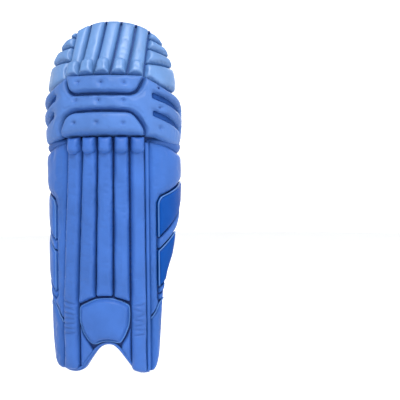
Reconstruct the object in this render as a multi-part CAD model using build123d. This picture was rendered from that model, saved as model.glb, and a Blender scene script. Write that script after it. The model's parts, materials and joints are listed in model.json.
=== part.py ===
"""Cricket batting leg pad for one leg, in millimetres.

+Z runs up the leg, -Y is the struck front face and +X is the outer side of the leg.
The origin is on the leg's axis, level with the pad's lowest edge.

The pad is a curved shell.  A place on it is (u, z, n): u is the distance round the shell from its
front centre line, z is the height, and n is the distance out from the shell's reference surface,
which is the front of the foam core.  The core lies at n < 0 and the padding at n > 0.
"""
from build123d import *
import math
import os

os.makedirs("parts", exist_ok=True)

# ---- driving dimensions -------------------------------------------------------------------------
FRONT_Y = -80.0                 # front centre of the reference surface
FRONT_R = 200.0                 # radius of the broad shin front
CORNER_R = 82.0                 # radius where the front turns into the side wings
SEAM_U = 78.0                   # where front and corner meet, which is the sewn wing seam
WING_ANGLE = math.radians(84)   # direction of the straight rear part of a wing
SEAM_ANGLE = SEAM_U / FRONT_R
STRAIGHT_U = SEAM_U + CORNER_R * (WING_ANGLE - SEAM_ANGLE)

LINING = 2.6                    # towelling lining
CORE = 9.0                      # foam core sheet
GAP = 0.35                      # clearance between pieces that touch in the sewn pad
SKIN = 1.3                      # coated fabric cover
CORE_IN = -CORE                 # n of the core's inner face
LINING_IN = -CORE - GAP - LINING

SHIN_TOP = 461.0                # upper edge of the shin section's core
BOLSTER_TOP = 470.0             # upper edge of its bolsters, in front of the knee's flex line
HINGE_Y = -66.0                 # the sewn flex lines lie just behind the lining
FLAP_HINGE_Z = 590.0
FLAP_TILT = 20.0                # the top flap leans back

BOLSTER_N = 16.0                # height of the shin bolsters
FLAP_N = 12.0                   # height of the top flap's bolsters
KNEE_IN = 2.2                   # n of the knee roll's inner face
KNEE_BAND_N = (26.0, 12.0)      # height of its band at the front and at the sides
KNEE_PANEL_N = 31.0             # height of its raised panels
WING_N = 9.0                    # wing padding

# groove positions as u, at the top and the bottom of each row of five bolsters
SHIN_GROOVES_TOP = (-77.5, -47.5, -17.5, 12.0, 41.5, 75.0)
SHIN_GROOVES_LOW = (-89.2, -56.0, -20.5, 12.0, 43.0, 76.0)
FLAP_GROOVES_LOW = (-81.0, -55.0, -25.0, 6.0, 38.0, 71.0)
FLAP_GROOVES_TOP = (-67.0, -37.0, -6.0, 24.0, 53.0, 80.0)
GROOVE = 1.6                    # width of the groove between bolsters
INNER_SEAM = [(-81, 470), (-94, 140), (-94, -5)]    # where each wing is sewn to the shin section
OUTER_SEAM = [(79.5, 470), (79.5, -5)]
SEAM_GAP = 0.6                  # half the clearance along a wing seam
SHIN_ROW = (150.0, 461.0)       # heights that the shin groove positions belong to
FLAP_ROW = (590.0, 700.0)

# outlines as (u, z)
INNER_REAR = [(-180, 446), (-188, 390), (-180, 310), (-165, 235), (-156, 175), (-149, 125),
              (-139, 71), (-130, 24), (-116, 7), (-80, 6)]
OUTER_REAR = [(194, 444), (198, 380), (184, 332), (165, 304), (148, 284), (136, 236), (121, 206),
              (110, 160), (105, 101), (99.5, 35), (94, 12), (82, 2)]
ARCH = [(-88, 6), (-69, 5.5), (-54, 13), (-41, 32), (-26, 52), (-15, 61), (-3, 64), (9, 62),
        (21, 50), (37, 28), (52, 7), (66, 0), (82, 2)]
FLAP_DOME = [(-150, 560), (-150, 604), (-139, 630), (-126, 649), (-108, 665), (-90, 683), (-71, 697),
             (-40, 709), (-15, 714), (15, 715), (48, 712.5), (70, 707), (91, 697), (108, 682),
             (123, 664), (139, 638), (152, 608), (152, 560)]
SHIELD = [(-54, 138), (-36, 147), (-19, 154), (-1, 155), (13, 154), (27, 149), (42, 140),
          (43, 118), (40, 98), (31, 78), (22, 63), (10, 66), (-3, 68), (-15, 66), (-27, 60),
          (-37, 66), (-48, 84), (-55, 108)]


# ---- the shell's surface ------------------------------------------------------------------------
def surface(u, n=0.0):
    """The point (x, y) at distance u round the shell and n out from it."""
    side, a = (1 if u >= 0 else -1), abs(u)
    if a <= SEAM_U:
        angle = a / FRONT_R
        return side * (FRONT_R + n) * math.sin(angle), FRONT_Y + FRONT_R - (FRONT_R + n) * math.cos(angle)
    centre_x = (FRONT_R - CORNER_R) * math.sin(SEAM_ANGLE)
    centre_y = FRONT_Y + FRONT_R - (FRONT_R - CORNER_R) * math.cos(SEAM_ANGLE)
    angle = min(SEAM_ANGLE + (a - SEAM_U) / CORNER_R, WING_ANGLE)
    beyond = max(0.0, a - STRAIGHT_U)
    x = centre_x + (CORNER_R + n) * math.sin(angle) + beyond * math.cos(angle)
    return side * x, centre_y - (CORNER_R + n) * math.cos(angle) + beyond * math.sin(angle)


def shell_edges(u0, u1, height):
    """The shell's section line at n, or at an n that varies with u, as arcs and lines from u0 to u1."""
    def point(u):
        return surface(u, height(u) if callable(height) else height)

    stops = [u0] + [b for b in (-STRAIGHT_U, -SEAM_U, SEAM_U, STRAIGHT_U) if u0 < b < u1] + [u1]
    edges = []
    for a, b in zip(stops, stops[1:]):
        if min(abs(a), abs(b)) >= STRAIGHT_U - 1e-6:
            edges.append(Line(point(a), point(b)))
        else:
            edges.append(ThreePointArc(point(a), point((a + b) / 2), point(b)))
    return edges


def shell(u0, u1, n0, n1, z0, z1):
    """A curved plate of the shell, from z0 to z1."""
    outer, inner = shell_edges(u0, u1, n1), shell_edges(u0, u1, n0)
    ends = [Line(inner[0] @ 0, outer[0] @ 0), Line(inner[-1] @ 1, outer[-1] @ 1)]
    return Pos(0, 0, z0) * extrude(make_face([*outer, *inner, *ends]), z1 - z0)


def front_cut(outline, n):
    """A prism along Y through an outline of (u, z) points, which cuts the front of the shell."""
    face = make_face(Polyline(*[(surface(u, n)[0], z) for u, z in outline], close=True))
    return extrude(Plane.XZ * face, 400, both=True)


def side_cut(outline, n):
    """A prism along X through an outline of (u, z) points, which cuts the wings of the shell."""
    face = make_face(Polyline(*[(surface(u, n)[1], z) for u, z in outline], close=True))
    return extrude(Plane.YZ * face, 400, both=True)


def between(low, top, row, z):
    """A groove's u at height z, between its values at the two heights of its row."""
    share = max(0.0, (z - row[0]) / (row[1] - row[0]))
    return low + (top - low) * share


def tilt(shape):
    """Leans a piece of the top flap back about its flex line."""
    return shape.rotate(Axis((0, HINGE_Y, FLAP_HINGE_Z), (1, 0, 0)), -FLAP_TILT)


def one_solid(shape):
    """The largest solid of a shape, as a clean part."""
    return max(shape.solids(), key=lambda s: s.volume)


def save(name, *solids):
    """Writes one node, which may hold several separate solids."""
    shape = solids[0] if len(solids) == 1 else Compound(children=list(solids))
    shape.label = name
    export_step(shape, f"parts/{name}.step")


# ---- shin section: the root ---------------------------------------------------------------------
def beside(seam, side, gap):
    """The prism outside a wing seam, or inside it when the gap is negative."""
    step = side * gap
    line = [(surface(u)[0] + step, z) for u, z in seam]
    far = side * (300 if gap > 0 else -300)
    face = make_face(Polyline(*line, (far, line[-1][1]), (far, line[0][1]), close=True))
    return extrude(Plane.XZ * face, 400, both=True)


def shin_outline():
    """The front outline of the shin section, with the arch over the shoe cut out of its foot."""
    return [(-120, SHIN_TOP), (-120, 6), *ARCH, (110, 2), (110, SHIN_TOP)]


def make_shin_layers():
    cut = front_cut(shin_outline(), 0)
    cut = cut & beside(INNER_SEAM, -1, -SEAM_GAP) & beside(OUTER_SEAM, 1, -SEAM_GAP)
    core = one_solid(shell(-100, 90, CORE_IN, -GAP, 0, SHIN_TOP) & cut)
    stiffener_room = shell(-60, 60, -4.6, -2.4, 96, 440)
    save("shin_foam_core", one_solid(core - stiffener_room))
    save("shin_stiffener_sheet", shell(-59.5, 59.5, -4.5, -2.5, 96.5, 439.5))
    lining = shell(-100, 90, LINING_IN, CORE_IN - GAP, 0, SHIN_TOP)
    save("shin_lining", one_solid(lining & cut))


def bolster_outline(index, z_low, z_top, low, top, row, inset):
    """A bolster's outline between two grooves, with its foot given as heights at its two sides."""
    sides = []
    for side, foot in enumerate(z_low):
        step = (GROOVE / 2 + inset) * (1 if side == 0 else -1)
        heights = [foot + inset, row[0], z_top - inset]
        heights = heights if heights[0] < row[0] - 1 else [heights[0], heights[2]]
        sides.append([(between(low[index + side], top[index + side], row, z) + step, z) for z in heights])
    return sides[1] + sides[0][::-1]


def make_bolster(name, outline, insert_outline, height, z_range, finish=lambda s: s):
    """A cover skin over a foam insert that holds a cane slat."""
    n_low = GAP
    cover = shell(-100, 100, n_low, height, *z_range) & front_cut(outline, height / 2)
    room = shell(-101, 101, n_low, height - SKIN, *z_range) & front_cut(insert_outline, height / 2)
    cover = one_solid(cover)
    save(f"{name}_cover", finish(one_solid(cover - one_solid(room))))
    return one_solid(room)


# the outer two bolsters run down into the lobes, and the middle three stop at the instep shield
SHIN_FEET = [(10, 18), (141, 157), (158, 158), (157, 145), (12, 8)]
PUFF_BOTTOM = 436.0


def make_shin_bolsters():
    inserts, canes, puffs = [], [], []
    for i in range(5):
        foot = SHIN_FEET[i]
        outline = bolster_outline(i, foot, BOLSTER_TOP, SHIN_GROOVES_LOW, SHIN_GROOVES_TOP, SHIN_ROW, 0)
        inner = bolster_outline(i, foot, BOLSTER_TOP, SHIN_GROOVES_LOW, SHIN_GROOVES_TOP, SHIN_ROW, SKIN)
        room = make_bolster(f"shin_bolster_{i + 1}", outline, inner, BOLSTER_N, (0, BOLSTER_TOP))
        middle_top = (SHIN_GROOVES_TOP[i] + SHIN_GROOVES_TOP[i + 1]) / 2
        middle_low = (SHIN_GROOVES_LOW[i] + SHIN_GROOVES_LOW[i + 1]) / 2
        z_low, z_high = 168, SHIN_TOP - 8
        slat = [(middle_low - 7, z_low), (middle_low + 7, z_low), (middle_top + 7, z_high),
                (middle_top - 7, z_high)]
        cane = one_solid(shell(-100, 100, 5, 9, 0, SHIN_TOP) & front_cut(slat, 7))
        inserts.append(one_solid(room - cane))
        canes.append(cane)
        puff_n = BOLSTER_N + GAP
        puff = shell(middle_top - 12, middle_top + 12, puff_n, BOLSTER_N + 8, PUFF_BOTTOM, BOLSTER_TOP)
        puffs.append(one_solid(puff))
    save("shin_bolster_foam", *inserts)
    save("shin_cane_slats", *canes)
    save("shin_bolster_puffs", *puffs)


def make_instep():
    cut = front_cut(SHIELD, 8)
    save("instep_shield", one_solid(shell(-70, 70, GAP, 15, 40, 160) & cut))
    gussets = []
    for outline in ([(-55.5, 98), (-49, 80), (-38.5, 62), (-33, 45.5), (-41.6, 34.5), (-53, 17), (-56, 40)],
                    [(43, 96), (41.2, 94), (33, 77), (24.5, 62), (24, 48.5), (36, 31), (43, 20.5)]):
        gussets.append(one_solid(shell(-70, 70, GAP, 8, 0, 130) & front_cut(outline, 4)))
    save("instep_gussets", *gussets)


def make_side_bolsters():
    """Upright comfort rolls inside the pad that keep the shin central."""
    radius, low, top = 8.0, 170.0, 440.0
    rolls = []
    for u in (-66.0, 66.0):
        x, y = surface(u, LINING_IN - GAP - radius)
        roll = Pos(x, y, (low + top) / 2) * Cylinder(radius, top - low)
        rolls.append(fillet(roll.edges(), radius - 1.0))
    save("shin_comfort_rolls", *rolls)


# ---- wings --------------------------------------------------------------------------------------
WING_TOP = ((88, 462.5), (104, 459.5), (128, 453.5), (150, 447.5))


def wing_outline(side, rear, inset=0.0):
    """The (u, z) outline of a wing: its top slopes down to the rear, to leave room for the knee."""
    edge = [(u - side * inset, z) for u, z in rear]
    top = [(side * u, z) for u, z in ((SEAM_U * 0.9, 464), *WING_TOP)]
    return [*top, *edge, (side * SEAM_U * 0.9, edge[-1][1])]


def make_wing(name, side, rear, seam, strip_u, panels, ankle):
    """One wing: core, lining, main padding with raised panels let into it, and an ankle pad."""
    outside = beside(seam, side, SEAM_GAP)

    def ring(n0, n1, start=70):
        ends = sorted((side * start, side * 205))
        return shell(ends[0], ends[1], n0, n1, 0, 466) & outside

    edge_cut = side_cut(wing_outline(side, rear), 0)
    pad_cut = side_cut(wing_outline(side, rear, 2.0), WING_N / 2)
    save(f"{name}_foam_core", one_solid(ring(CORE_IN, -GAP) & edge_cut))
    save(f"{name}_lining", one_solid(ring(LINING_IN, CORE_IN - GAP) & edge_cut))
    padding = ring(GAP, WING_N) & pad_cut
    ankle_cut = side_cut(ankle, WING_N / 2)
    save(f"{name}_ankle_pad", one_solid(padding & ankle_cut))
    padding = padding - side_cut(ankle, WING_N / 2)
    raised = ring(GAP, WING_N + 3.0, strip_u) & pad_cut
    window = side_cut(panels["window"], WING_N / 2)
    save(f"{name}_main_pad", one_solid(padding - window))
    for piece in ("calf_panel", "shin_panel"):
        save(f"{name}_{piece}", one_solid(raised & side_cut(panels[piece], WING_N / 2)))
    bars = [one_solid(raised & side_cut(bar, WING_N / 2)) for bar in panels["bars"]]
    save(f"{name}_bars", *bars)


def wing_panels(side, u0, rear_u, z):
    """Outlines of the raised panels of one wing, stacked down the rear of the wing.

    z holds the heights of the window's top, and of each sloping joint, at the front edge u0.
    """
    rise = 0.8                      # the joints climb towards the rear
    top, joint_1, joint_2, joint_3, low = z
    gap = 2.2

    def line(height):
        return [(side * u0, height), (side * rear_u, height + rise * (rear_u - u0))]

    def band(lower, upper):
        a, b = line(lower), line(upper)
        return [a[0], a[1], b[1], b[0]]

    chamfer = 7.0
    window = [(side * (u0 - gap), low - gap), (side * (u0 - gap), top), (side * (u0 + chamfer), top + 14),
              (side * rear_u, top + 44), (side * rear_u, low - gap)]
    calf = [(side * u0, joint_1), (side * u0, top - 2), (side * (u0 + chamfer), top + 9),
            (side * rear_u, top + 38), line(joint_1)[1]]
    shin = band(low + 14, joint_3)
    bars = [band(joint_2 + gap, joint_1 - gap), band(low, low + 14 - gap)]
    shin[2:] = [(side * rear_u, joint_2 + rise * (rear_u - u0)), (side * u0, joint_2)]
    return {"window": window, "calf_panel": calf, "shin_panel": shin, "bars": bars}


def make_wings():
    make_wing("inner_wing", -1, INNER_REAR, INNER_SEAM, 113,
              wing_panels(-1, 115.0, 205.0, (340, 268, 243, 243, 158)),
              [(-60, 0), (-60, 104), (-95, 104), (-104, 118), (-112, 132), (-165, 158), (-165, 0)])
    make_wing("outer_wing", 1, OUTER_REAR, OUTER_SEAM, 95,
              wing_panels(1, 97.0, 205.0, (342, 268, 243, 243, 154)),
              [(60, 0), (60, 106), (80, 106), (91, 121), (97, 136), (130, 160), (130, 0)])


# ---- knee section -------------------------------------------------------------------------------
KNEE_OUTLINE = [(-186, 545), (-150, 558), (-106, 568), (-79, 583), (-60, 587), (-18, 589), (27, 589),
                (60, 587), (79, 583), (108, 568), (155, 557), (190, 545), (192, 500), (188, 470),
                (150, 461), (128, 464), (70, 466.5), (27, 468), (-18, 468), (-60, 466.5), (-128, 464),
                (-150, 461), (-180, 470), (-188, 505)]
# the lower edge of the knee roll's outer layers, which hang over the wings
KNEE_LIP = [(192, 500), (188, 468), (150, 460.5), (128, 462), (104, 467), (88, 471.5), (27, 472),
            (-18, 472.5), (-60, 471), (-90, 469), (-112, 466), (-150, 461), (-180, 469), (-188, 505)]
LIP_N = 11.0                    # n of the inner face of those layers
FRONT_FOOT = 471.0              # lowest z of the knee roll in front of the bolsters
UPPER_PANEL = [(-72, 585), (68, 585.5), (53, 560), (45, 553.5), (-60, 554.5), (-66, 560)]
LOWER_PANEL = [(-74, 505), (-60, 515), (-3, 517), (45, 514), (55, 503), (66, 486), (68, 462), (-84, 462)]
TUFTS = [(-46, 574), (-6.5, 573.5), (32, 572.5), (-53, 540), (-12, 539.5), (30.5, 539), (-54, 495),
         (-14, 494.5), (30, 493)]
WING_TUFTS = [(96, 567), (97, 528), (96.5, 488)]


def band_n(u):
    """The knee band's height, which falls away round the sides."""
    share = min(1.0, max(0.0, (abs(u) - SEAM_U) / (STRAIGHT_U - SEAM_U)))
    return KNEE_BAND_N[0] + (KNEE_BAND_N[1] - KNEE_BAND_N[0]) * share


def knee_shell(n0, n1, u=192, lip=False):
    """A plate of the knee section over its whole outline, or over its outer layers' outline."""
    outline = [p for p in KNEE_OUTLINE if p[1] > 525] + KNEE_LIP if lip else KNEE_OUTLINE
    body = shell(-u, u, n0, n1, 450, 595)
    level = n1(110) if callable(n1) else n1
    halves = []
    for side in (-1, 1):
        points = [p for p in outline if side * p[0] > 0]
        upper = sorted((p for p in points if p[1] > 525), key=lambda p: abs(p[0]))
        lower = sorted((p for p in points if p[1] <= 525), key=lambda p: -abs(p[0]))
        half = Pos(side * 250, 0, 520) * Box(500, 800, 400)
        halves.append(body & half & side_cut([(0, 589), *upper, *lower, (0, lower[-1][1])], level))
    return one_solid(halves[0] + halves[1])


def make_knee():
    save("knee_foam_core", knee_shell(CORE_IN, -GAP, 178))
    save("knee_lining", knee_shell(LINING_IN, CORE_IN - GAP, 178))
    save("knee_impact_sheet", shell(-62, 62, GAP, 1.8, 474, 580))
    upper, lower = front_cut(UPPER_PANEL, 28), front_cut(LOWER_PANEL, 28)
    inner = knee_shell(KNEE_IN, LIP_N, 182) & shell(-192, 192, KNEE_IN, LIP_N, FRONT_FOOT, 595)
    outer = knee_shell(LIP_N, band_n, 182, lip=True)
    band = one_solid(inner + outer) - upper - lower
    slots = [front_cut([(85, z), (85, z + 8), (120, z + 2), (160, z - 6), (160, z - 14), (120, z - 6)], 24)
             for z in (549, 514)]
    slots += [front_cut([(-98, z), (-98, z + 7), (-112, z), (-140, z - 10), (-140, z - 17),
                         (-112, z - 8)], 24)
              for z in (547, 513)]
    groove = shell(-184, 184, lambda u: band_n(u) - 6, lambda u: band_n(u) + 2, 455, 595)
    sides = [one_solid(groove & slot & (Pos(0, -60, 520) * Box(400, 90, 200))) for slot in slots]
    for cutter in sides:
        band = band - cutter
    tufts = []
    for u, z, n in [(u, z, KNEE_PANEL_N) for u, z in TUFTS[:3] + TUFTS[6:]] \
            + [(u, z, band_n(u)) for u, z in TUFTS[3:6] + WING_TUFTS]:
        tufts.append(tuft(u, z, n))
    panels = []
    for cut in (upper, lower):
        panels.append(one_solid(shell(-100, 100, KNEE_IN, KNEE_PANEL_N, FRONT_FOOT, 589) & cut))
    for shaft in tufts:
        band = band - shaft
        panels = [panel - shaft for panel in panels]
    save("knee_roll_band", one_solid(band))
    save("knee_roll_upper_panel", one_solid(panels[0]))
    save("knee_roll_lower_panel", one_solid(panels[1]))
    save("knee_roll_tufts", *tufts)
    cushions = [shell(-48, 48, LINING_IN - GAP - 6, LINING_IN - GAP, 496, 558)]
    for z0, z1 in ((562, 580), (474, 492)):
        roll = shell(-66, 66, LINING_IN - GAP - 13, LINING_IN - GAP, z0, z1)
        cushions.append(one_solid(fillet(roll.edges().filter_by(GeomType.CIRCLE), 5.5)))
    save("knee_cup_cushions", *cushions)


def tuft(u, z, n):
    """A tufting button, sunk 2 mm in the padding and sewn through to the core."""
    x, y = surface(u, n - 2.0)
    outward = Vector(x - surface(u, 0)[0], y - surface(u, 0)[1], 0).normalized()
    depth = n - 2.0 - KNEE_IN - 0.5
    foot = Vector(*surface(u, KNEE_IN + 0.5), z)
    return Plane(origin=foot, z_dir=outward) * extrude(Circle(2.2), depth)


# ---- top flap -----------------------------------------------------------------------------------
def flap_floor():
    """Everything above the top flap's lower edge, which slopes to leave room for the flex."""
    line = [(-300, 591), (-70, 591), (-64, 590), (-58, 587.5), (-52, 583.8), (-44, 577.5), (-38, 574),
            (-30, 572), (-16, 569.5), (10, 565.5), (40, 560), (300, 560)]
    face = make_face(Polyline(*line, (300, 800), (-300, 800), close=True))
    return extrude(Plane.YZ * face, 400, both=True)


def flap_piece(u0, u1, n0, n1, outline, floor):
    """A piece of the top flap: cut upright, leaned back, then trimmed along the lower edge."""
    upright = shell(u0, u1, n0, n1, 545, 730) & front_cut(outline, (n0 + n1) / 2)
    return one_solid(tilt(one_solid(upright)) & floor)


def flute_outline(side, z0, z1):
    """One flute beside the flap's bolsters: it climbs a little from the bolsters to the edge."""
    inner, outer = (83.5, 158.0) if side > 0 else (-85.5, -158.0)
    slope = 0.34 * (abs(outer) - abs(inner))
    return [(inner, z0 + 1), (inner, z1 - 1), (outer, z1 + slope - 1), (outer, z0 + slope + 1)]


FLUTE_HEIGHTS = (560.0, 588.0, 616.0, 644.0, 672.0)


def make_flap():
    floor = flap_floor()
    inset_dome = [(u * 0.97, z - 4) for u, z in FLAP_DOME]
    save("flap_foam_core", flap_piece(-150, 150, CORE_IN, -GAP, FLAP_DOME, floor))
    save("flap_lining", flap_piece(-150, 150, LINING_IN, CORE_IN - GAP, FLAP_DOME, floor))
    dome = tilt(one_solid(shell(-150, 150, 0, FLAP_N + 12, 545, 730) & front_cut(inset_dome, 6)))
    puffs, inserts = [], []
    for i in range(5):
        top = 716.0
        outline = bolster_outline(i, (560, 560), top, FLAP_GROOVES_LOW, FLAP_GROOVES_TOP, FLAP_ROW, 0)
        inner = bolster_outline(i, (560, 560), top, FLAP_GROOVES_LOW, FLAP_GROOVES_TOP, FLAP_ROW, SKIN)
        upright = one_solid(shell(-100, 100, GAP, FLAP_N, 545, 730) & front_cut(outline, FLAP_N / 2))
        inside = one_solid(shell(-101, 101, GAP, FLAP_N - SKIN, 545, 730) & front_cut(inner, FLAP_N / 2))
        cover = one_solid(tilt(upright) & dome & floor)
        room = one_solid(tilt(inside) & dome & floor)
        save(f"flap_bolster_{i + 1}_cover", one_solid(cover - room))
        inserts.append(room)
        centre = (between(FLAP_GROOVES_LOW[i], FLAP_GROOVES_TOP[i], FLAP_ROW, 602)
                  + between(FLAP_GROOVES_LOW[i + 1], FLAP_GROOVES_TOP[i + 1], FLAP_ROW, 602)) / 2
        puff = shell(centre - 11, centre + 11, FLAP_N + GAP, FLAP_N + 7, 580, 613)
        puffs.append(one_solid(tilt(one_solid(puff)) & floor))
    save("flap_bolster_foam", *inserts)
    save("flap_bolster_puffs", *puffs)
    for name, side in (("flap_inner_flutes", -1), ("flap_outer_flutes", 1)):
        flutes = []
        for z0, z1 in zip(FLUTE_HEIGHTS, FLUTE_HEIGHTS[1:]):
            ends = sorted((side * 84.0, side * 148.0))
            upright = shell(ends[0], ends[1], GAP, 10, 545, 730) & front_cut(flute_outline(side, z0, z1), 5)
            flutes.append(one_solid(tilt(one_solid(upright)) & dome & floor))
        save(name, *flutes)


# ---- straps -------------------------------------------------------------------------------------
STRAP_T = 3.0


def rear_u(outline, z):
    """The rear edge's distance round the shell at height z."""
    ordered = sorted(outline, key=lambda p: p[1])
    for (u0, z0), (u1, z1) in zip(ordered, ordered[1:]):
        if z0 <= z <= z1:
            return u0 + (u1 - u0) * (z - z0) / (z1 - z0)
    return ordered[-1][0]


def direction(u):
    """The shell's direction towards the rear, at distance u round it."""
    angle = min(SEAM_ANGLE + (abs(u) - SEAM_U) / CORNER_R, WING_ANGLE)
    return (1 if u > 0 else -1) * math.cos(angle), math.sin(angle)


def make_strap(name, z, width, back_y, radius, tab_length):
    """A strap hinged behind the inner wing, whose hook tab closes on the outer wing's lining."""
    heights = [z + k * width / 2 for k in (-1, 0, 1)]
    inner = min(rear_u(INNER_REAR, height) for height in heights)
    outer = min(rear_u(OUTER_REAR, height) for height in heights)
    n_face = LINING_IN - GAP
    n_strap = n_face - 2.6 - STRAP_T / 2
    hinge = surface(inner - 6.0, n_face - STRAP_T / 2)
    tab_u = (outer - 6.0 - tab_length, outer - 6.0)
    tab_start = surface(tab_u[1], n_strap)
    across, along = direction(tab_u[1])
    corner = (tab_start[0] + 14 * across, tab_start[1] + 14 * along)
    loop = FilletPolyline(hinge, (hinge[0] - 1.0, back_y), (corner[0] - 1.0, back_y), corner, tab_start,
                          radius=(radius, radius, 12))
    path = Wire([*loop.edges(), *shell_edges(*tab_u, n_strap)])
    low = z - width / 2
    save(f"{name}_webbing", one_solid(Pos(0, 0, low) * extrude(trace(path, STRAP_T), width)))
    hook = shell(tab_u[0] + 2, tab_u[1] - 2, n_face - 2.2, n_face - 1.3, low + 2, low + width - 2)
    pile = shell(tab_u[0] - 1, tab_u[1] + 1, n_face - 1.0, n_face, low - 2, low + width + 2)
    anchor = shell(inner - 3.5, inner + 34, n_face - STRAP_T, n_face, low, low + width)
    return one_solid(hook), one_solid(pile), one_solid(anchor)


# name, middle height, width, y of the strap behind the leg, radius of its turn there, tab's length
STRAPS = (("knee_strap", 384.0, 45.0, 84.0, 46.0, 38.0),
          ("calf_strap", 322.0, 50.0, 80.0, 46.0, 38.0),
          ("ankle_strap", 128.0, 38.0, 52.0, 42.0, 13.0))


def make_straps():
    piles, anchors = [], []
    for name, z, *sizes in STRAPS:
        hook, pile, anchor = make_strap(name, z, *sizes)
        save(f"{name}_hook_tab", hook)
        piles.append(pile)
        anchors.append(anchor)
    save("outer_wing_loop_patches", *piles)
    save("inner_wing_strap_anchors", *anchors)


make_shin_layers()
make_shin_bolsters()
make_instep()
make_side_bolsters()
make_wings()
make_knee()
make_flap()
make_straps()
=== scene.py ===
"""Looks for the cricket leg pad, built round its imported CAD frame.

Lengths in this file are millimetres until a mesh is written.  As in the CAD model, a place on the
pad is (u, z, n): distance round the shell from its front centre line, height, and distance out.
"""

import json
import math

import bmesh
import bpy
import numpy as np
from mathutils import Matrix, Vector
from mathutils.geometry import delaunay_2d_cdt


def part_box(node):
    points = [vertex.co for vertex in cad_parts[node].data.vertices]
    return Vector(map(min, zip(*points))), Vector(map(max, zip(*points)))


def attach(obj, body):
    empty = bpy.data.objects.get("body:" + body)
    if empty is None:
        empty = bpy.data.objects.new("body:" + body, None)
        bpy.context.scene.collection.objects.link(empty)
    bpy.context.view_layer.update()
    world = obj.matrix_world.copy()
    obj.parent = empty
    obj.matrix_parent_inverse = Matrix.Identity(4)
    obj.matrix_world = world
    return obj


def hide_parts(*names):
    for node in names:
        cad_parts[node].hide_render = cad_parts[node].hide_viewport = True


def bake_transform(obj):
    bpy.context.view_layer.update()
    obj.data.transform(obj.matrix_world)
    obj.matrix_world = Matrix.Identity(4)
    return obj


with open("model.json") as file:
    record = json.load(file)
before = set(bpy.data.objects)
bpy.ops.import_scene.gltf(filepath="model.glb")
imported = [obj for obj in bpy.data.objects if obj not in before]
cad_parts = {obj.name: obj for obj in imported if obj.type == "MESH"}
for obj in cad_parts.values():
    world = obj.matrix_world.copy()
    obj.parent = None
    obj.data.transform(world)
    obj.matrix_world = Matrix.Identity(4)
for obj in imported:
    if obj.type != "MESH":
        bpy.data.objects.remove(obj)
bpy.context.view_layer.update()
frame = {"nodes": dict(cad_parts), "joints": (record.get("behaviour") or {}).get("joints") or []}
bpy.context.view_layer.update()

# ---- the CAD model's driving dimensions ---------------------------------------------------------
GAP = 0.35                      # clearance between its sewn layers
FRONT_R, CORNER_R, SEAM_U = 200.0, 82.0, 78.0
WING_ANGLE = math.radians(84)
SEAM_ANGLE = SEAM_U / FRONT_R
STRAIGHT_U = SEAM_U + CORNER_R * (WING_ANGLE - SEAM_ANGLE)
FRONT_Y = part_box("shin_foam_core")[0][1] * 1000 - GAP        # front of the shell's surface
SHIN_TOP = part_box("shin_foam_core")[1][2] * 1000
BOLSTER_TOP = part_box("shin_bolster_3_cover")[1][2] * 1000
HINGES = {joint["name"]: joint["pos_m"] for joint in frame["joints"]}
HINGE_Y, FLAP_HINGE_Z = HINGES["knee_flex"][1] * 1000, HINGES["flap_flex"][2] * 1000
FLAP_TILT = math.radians(20)

SIDES = (("inner", -1), ("outer", 1))
# the grooves between bolsters as u, at the heights of each row
SHIN_TOPS = (-78.0, -47.2, -18.0, 12.0, 42.0, 71.6)
SHIN_LOWS = (-91.6, -59.6, -25.0, 9.2, 41.4, 72.6)
FLAP_LOWS = (-81.0, -55.0, -25.0, 6.0, 38.0, 71.0)
FLAP_TOPS = (-67.0, -37.0, -6.0, 24.0, 53.0, 80.0)
SHIN_ROW, FLAP_ROW = (150.0, 461.0), (590.0, 700.0)
# seams, edges and outlines as (u, z)
INNER_SEAM = [(-81, 470), (-94, 140), (-94, -5)]
OUTER_SEAM = [(79.5, 470), (79.5, -5)]
INNER_REAR = [(-180, 446), (-188, 390), (-180, 310), (-165, 235), (-156, 175), (-149, 125),
              (-139, 71), (-130, 24), (-116, 7)]
OUTER_REAR = [(194, 444), (198, 380), (184, 332), (165, 304), (148, 284), (136, 236), (121, 206),
              (110, 160), (105, 101), (99.5, 35), (94, 12)]
ARCH = [(-94, 7), (-86, 6), (-69, 5.5), (-54, 13), (-41, 32), (-26, 52), (-15, 61), (-3, 64), (9, 62),
        (21, 50), (37, 28), (52, 7), (66, 1), (79, 2)]
FLAP_DOME = [(-152, 593), (-150, 604), (-139, 630), (-126, 649), (-108, 665), (-90, 683), (-71, 697),
             (-40, 709), (-15, 714), (15, 715), (48, 712.5), (70, 707), (91, 697), (108, 682),
             (123, 664), (139, 638), (151, 608), (152, 593)]


# ---- the shell's surface ------------------------------------------------------------------------
def surface(u, z, n):
    """Points (x, y, z) for arrays of u, z and n."""
    u, z, n = np.broadcast_arrays(np.asarray(u, float), np.asarray(z, float), np.asarray(n, float))
    side, a = np.where(u < 0, -1.0, 1.0), np.abs(u)
    front = a <= SEAM_U
    angle = np.where(front, a / FRONT_R, np.minimum(SEAM_ANGLE + (a - SEAM_U) / CORNER_R, WING_ANGLE))
    radius = np.where(front, FRONT_R, CORNER_R)
    mid_x = np.where(front, 0.0, (FRONT_R - CORNER_R) * math.sin(SEAM_ANGLE))
    mid_y = FRONT_Y + FRONT_R - np.where(front, 0.0, (FRONT_R - CORNER_R) * math.cos(SEAM_ANGLE))
    beyond = np.maximum(0.0, a - STRAIGHT_U)
    x = mid_x + (radius + n) * np.sin(angle) + beyond * np.cos(angle)
    y = mid_y - (radius + n) * np.cos(angle) + beyond * np.sin(angle)
    return np.stack([side * x, y, z], axis=-1)


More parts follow.
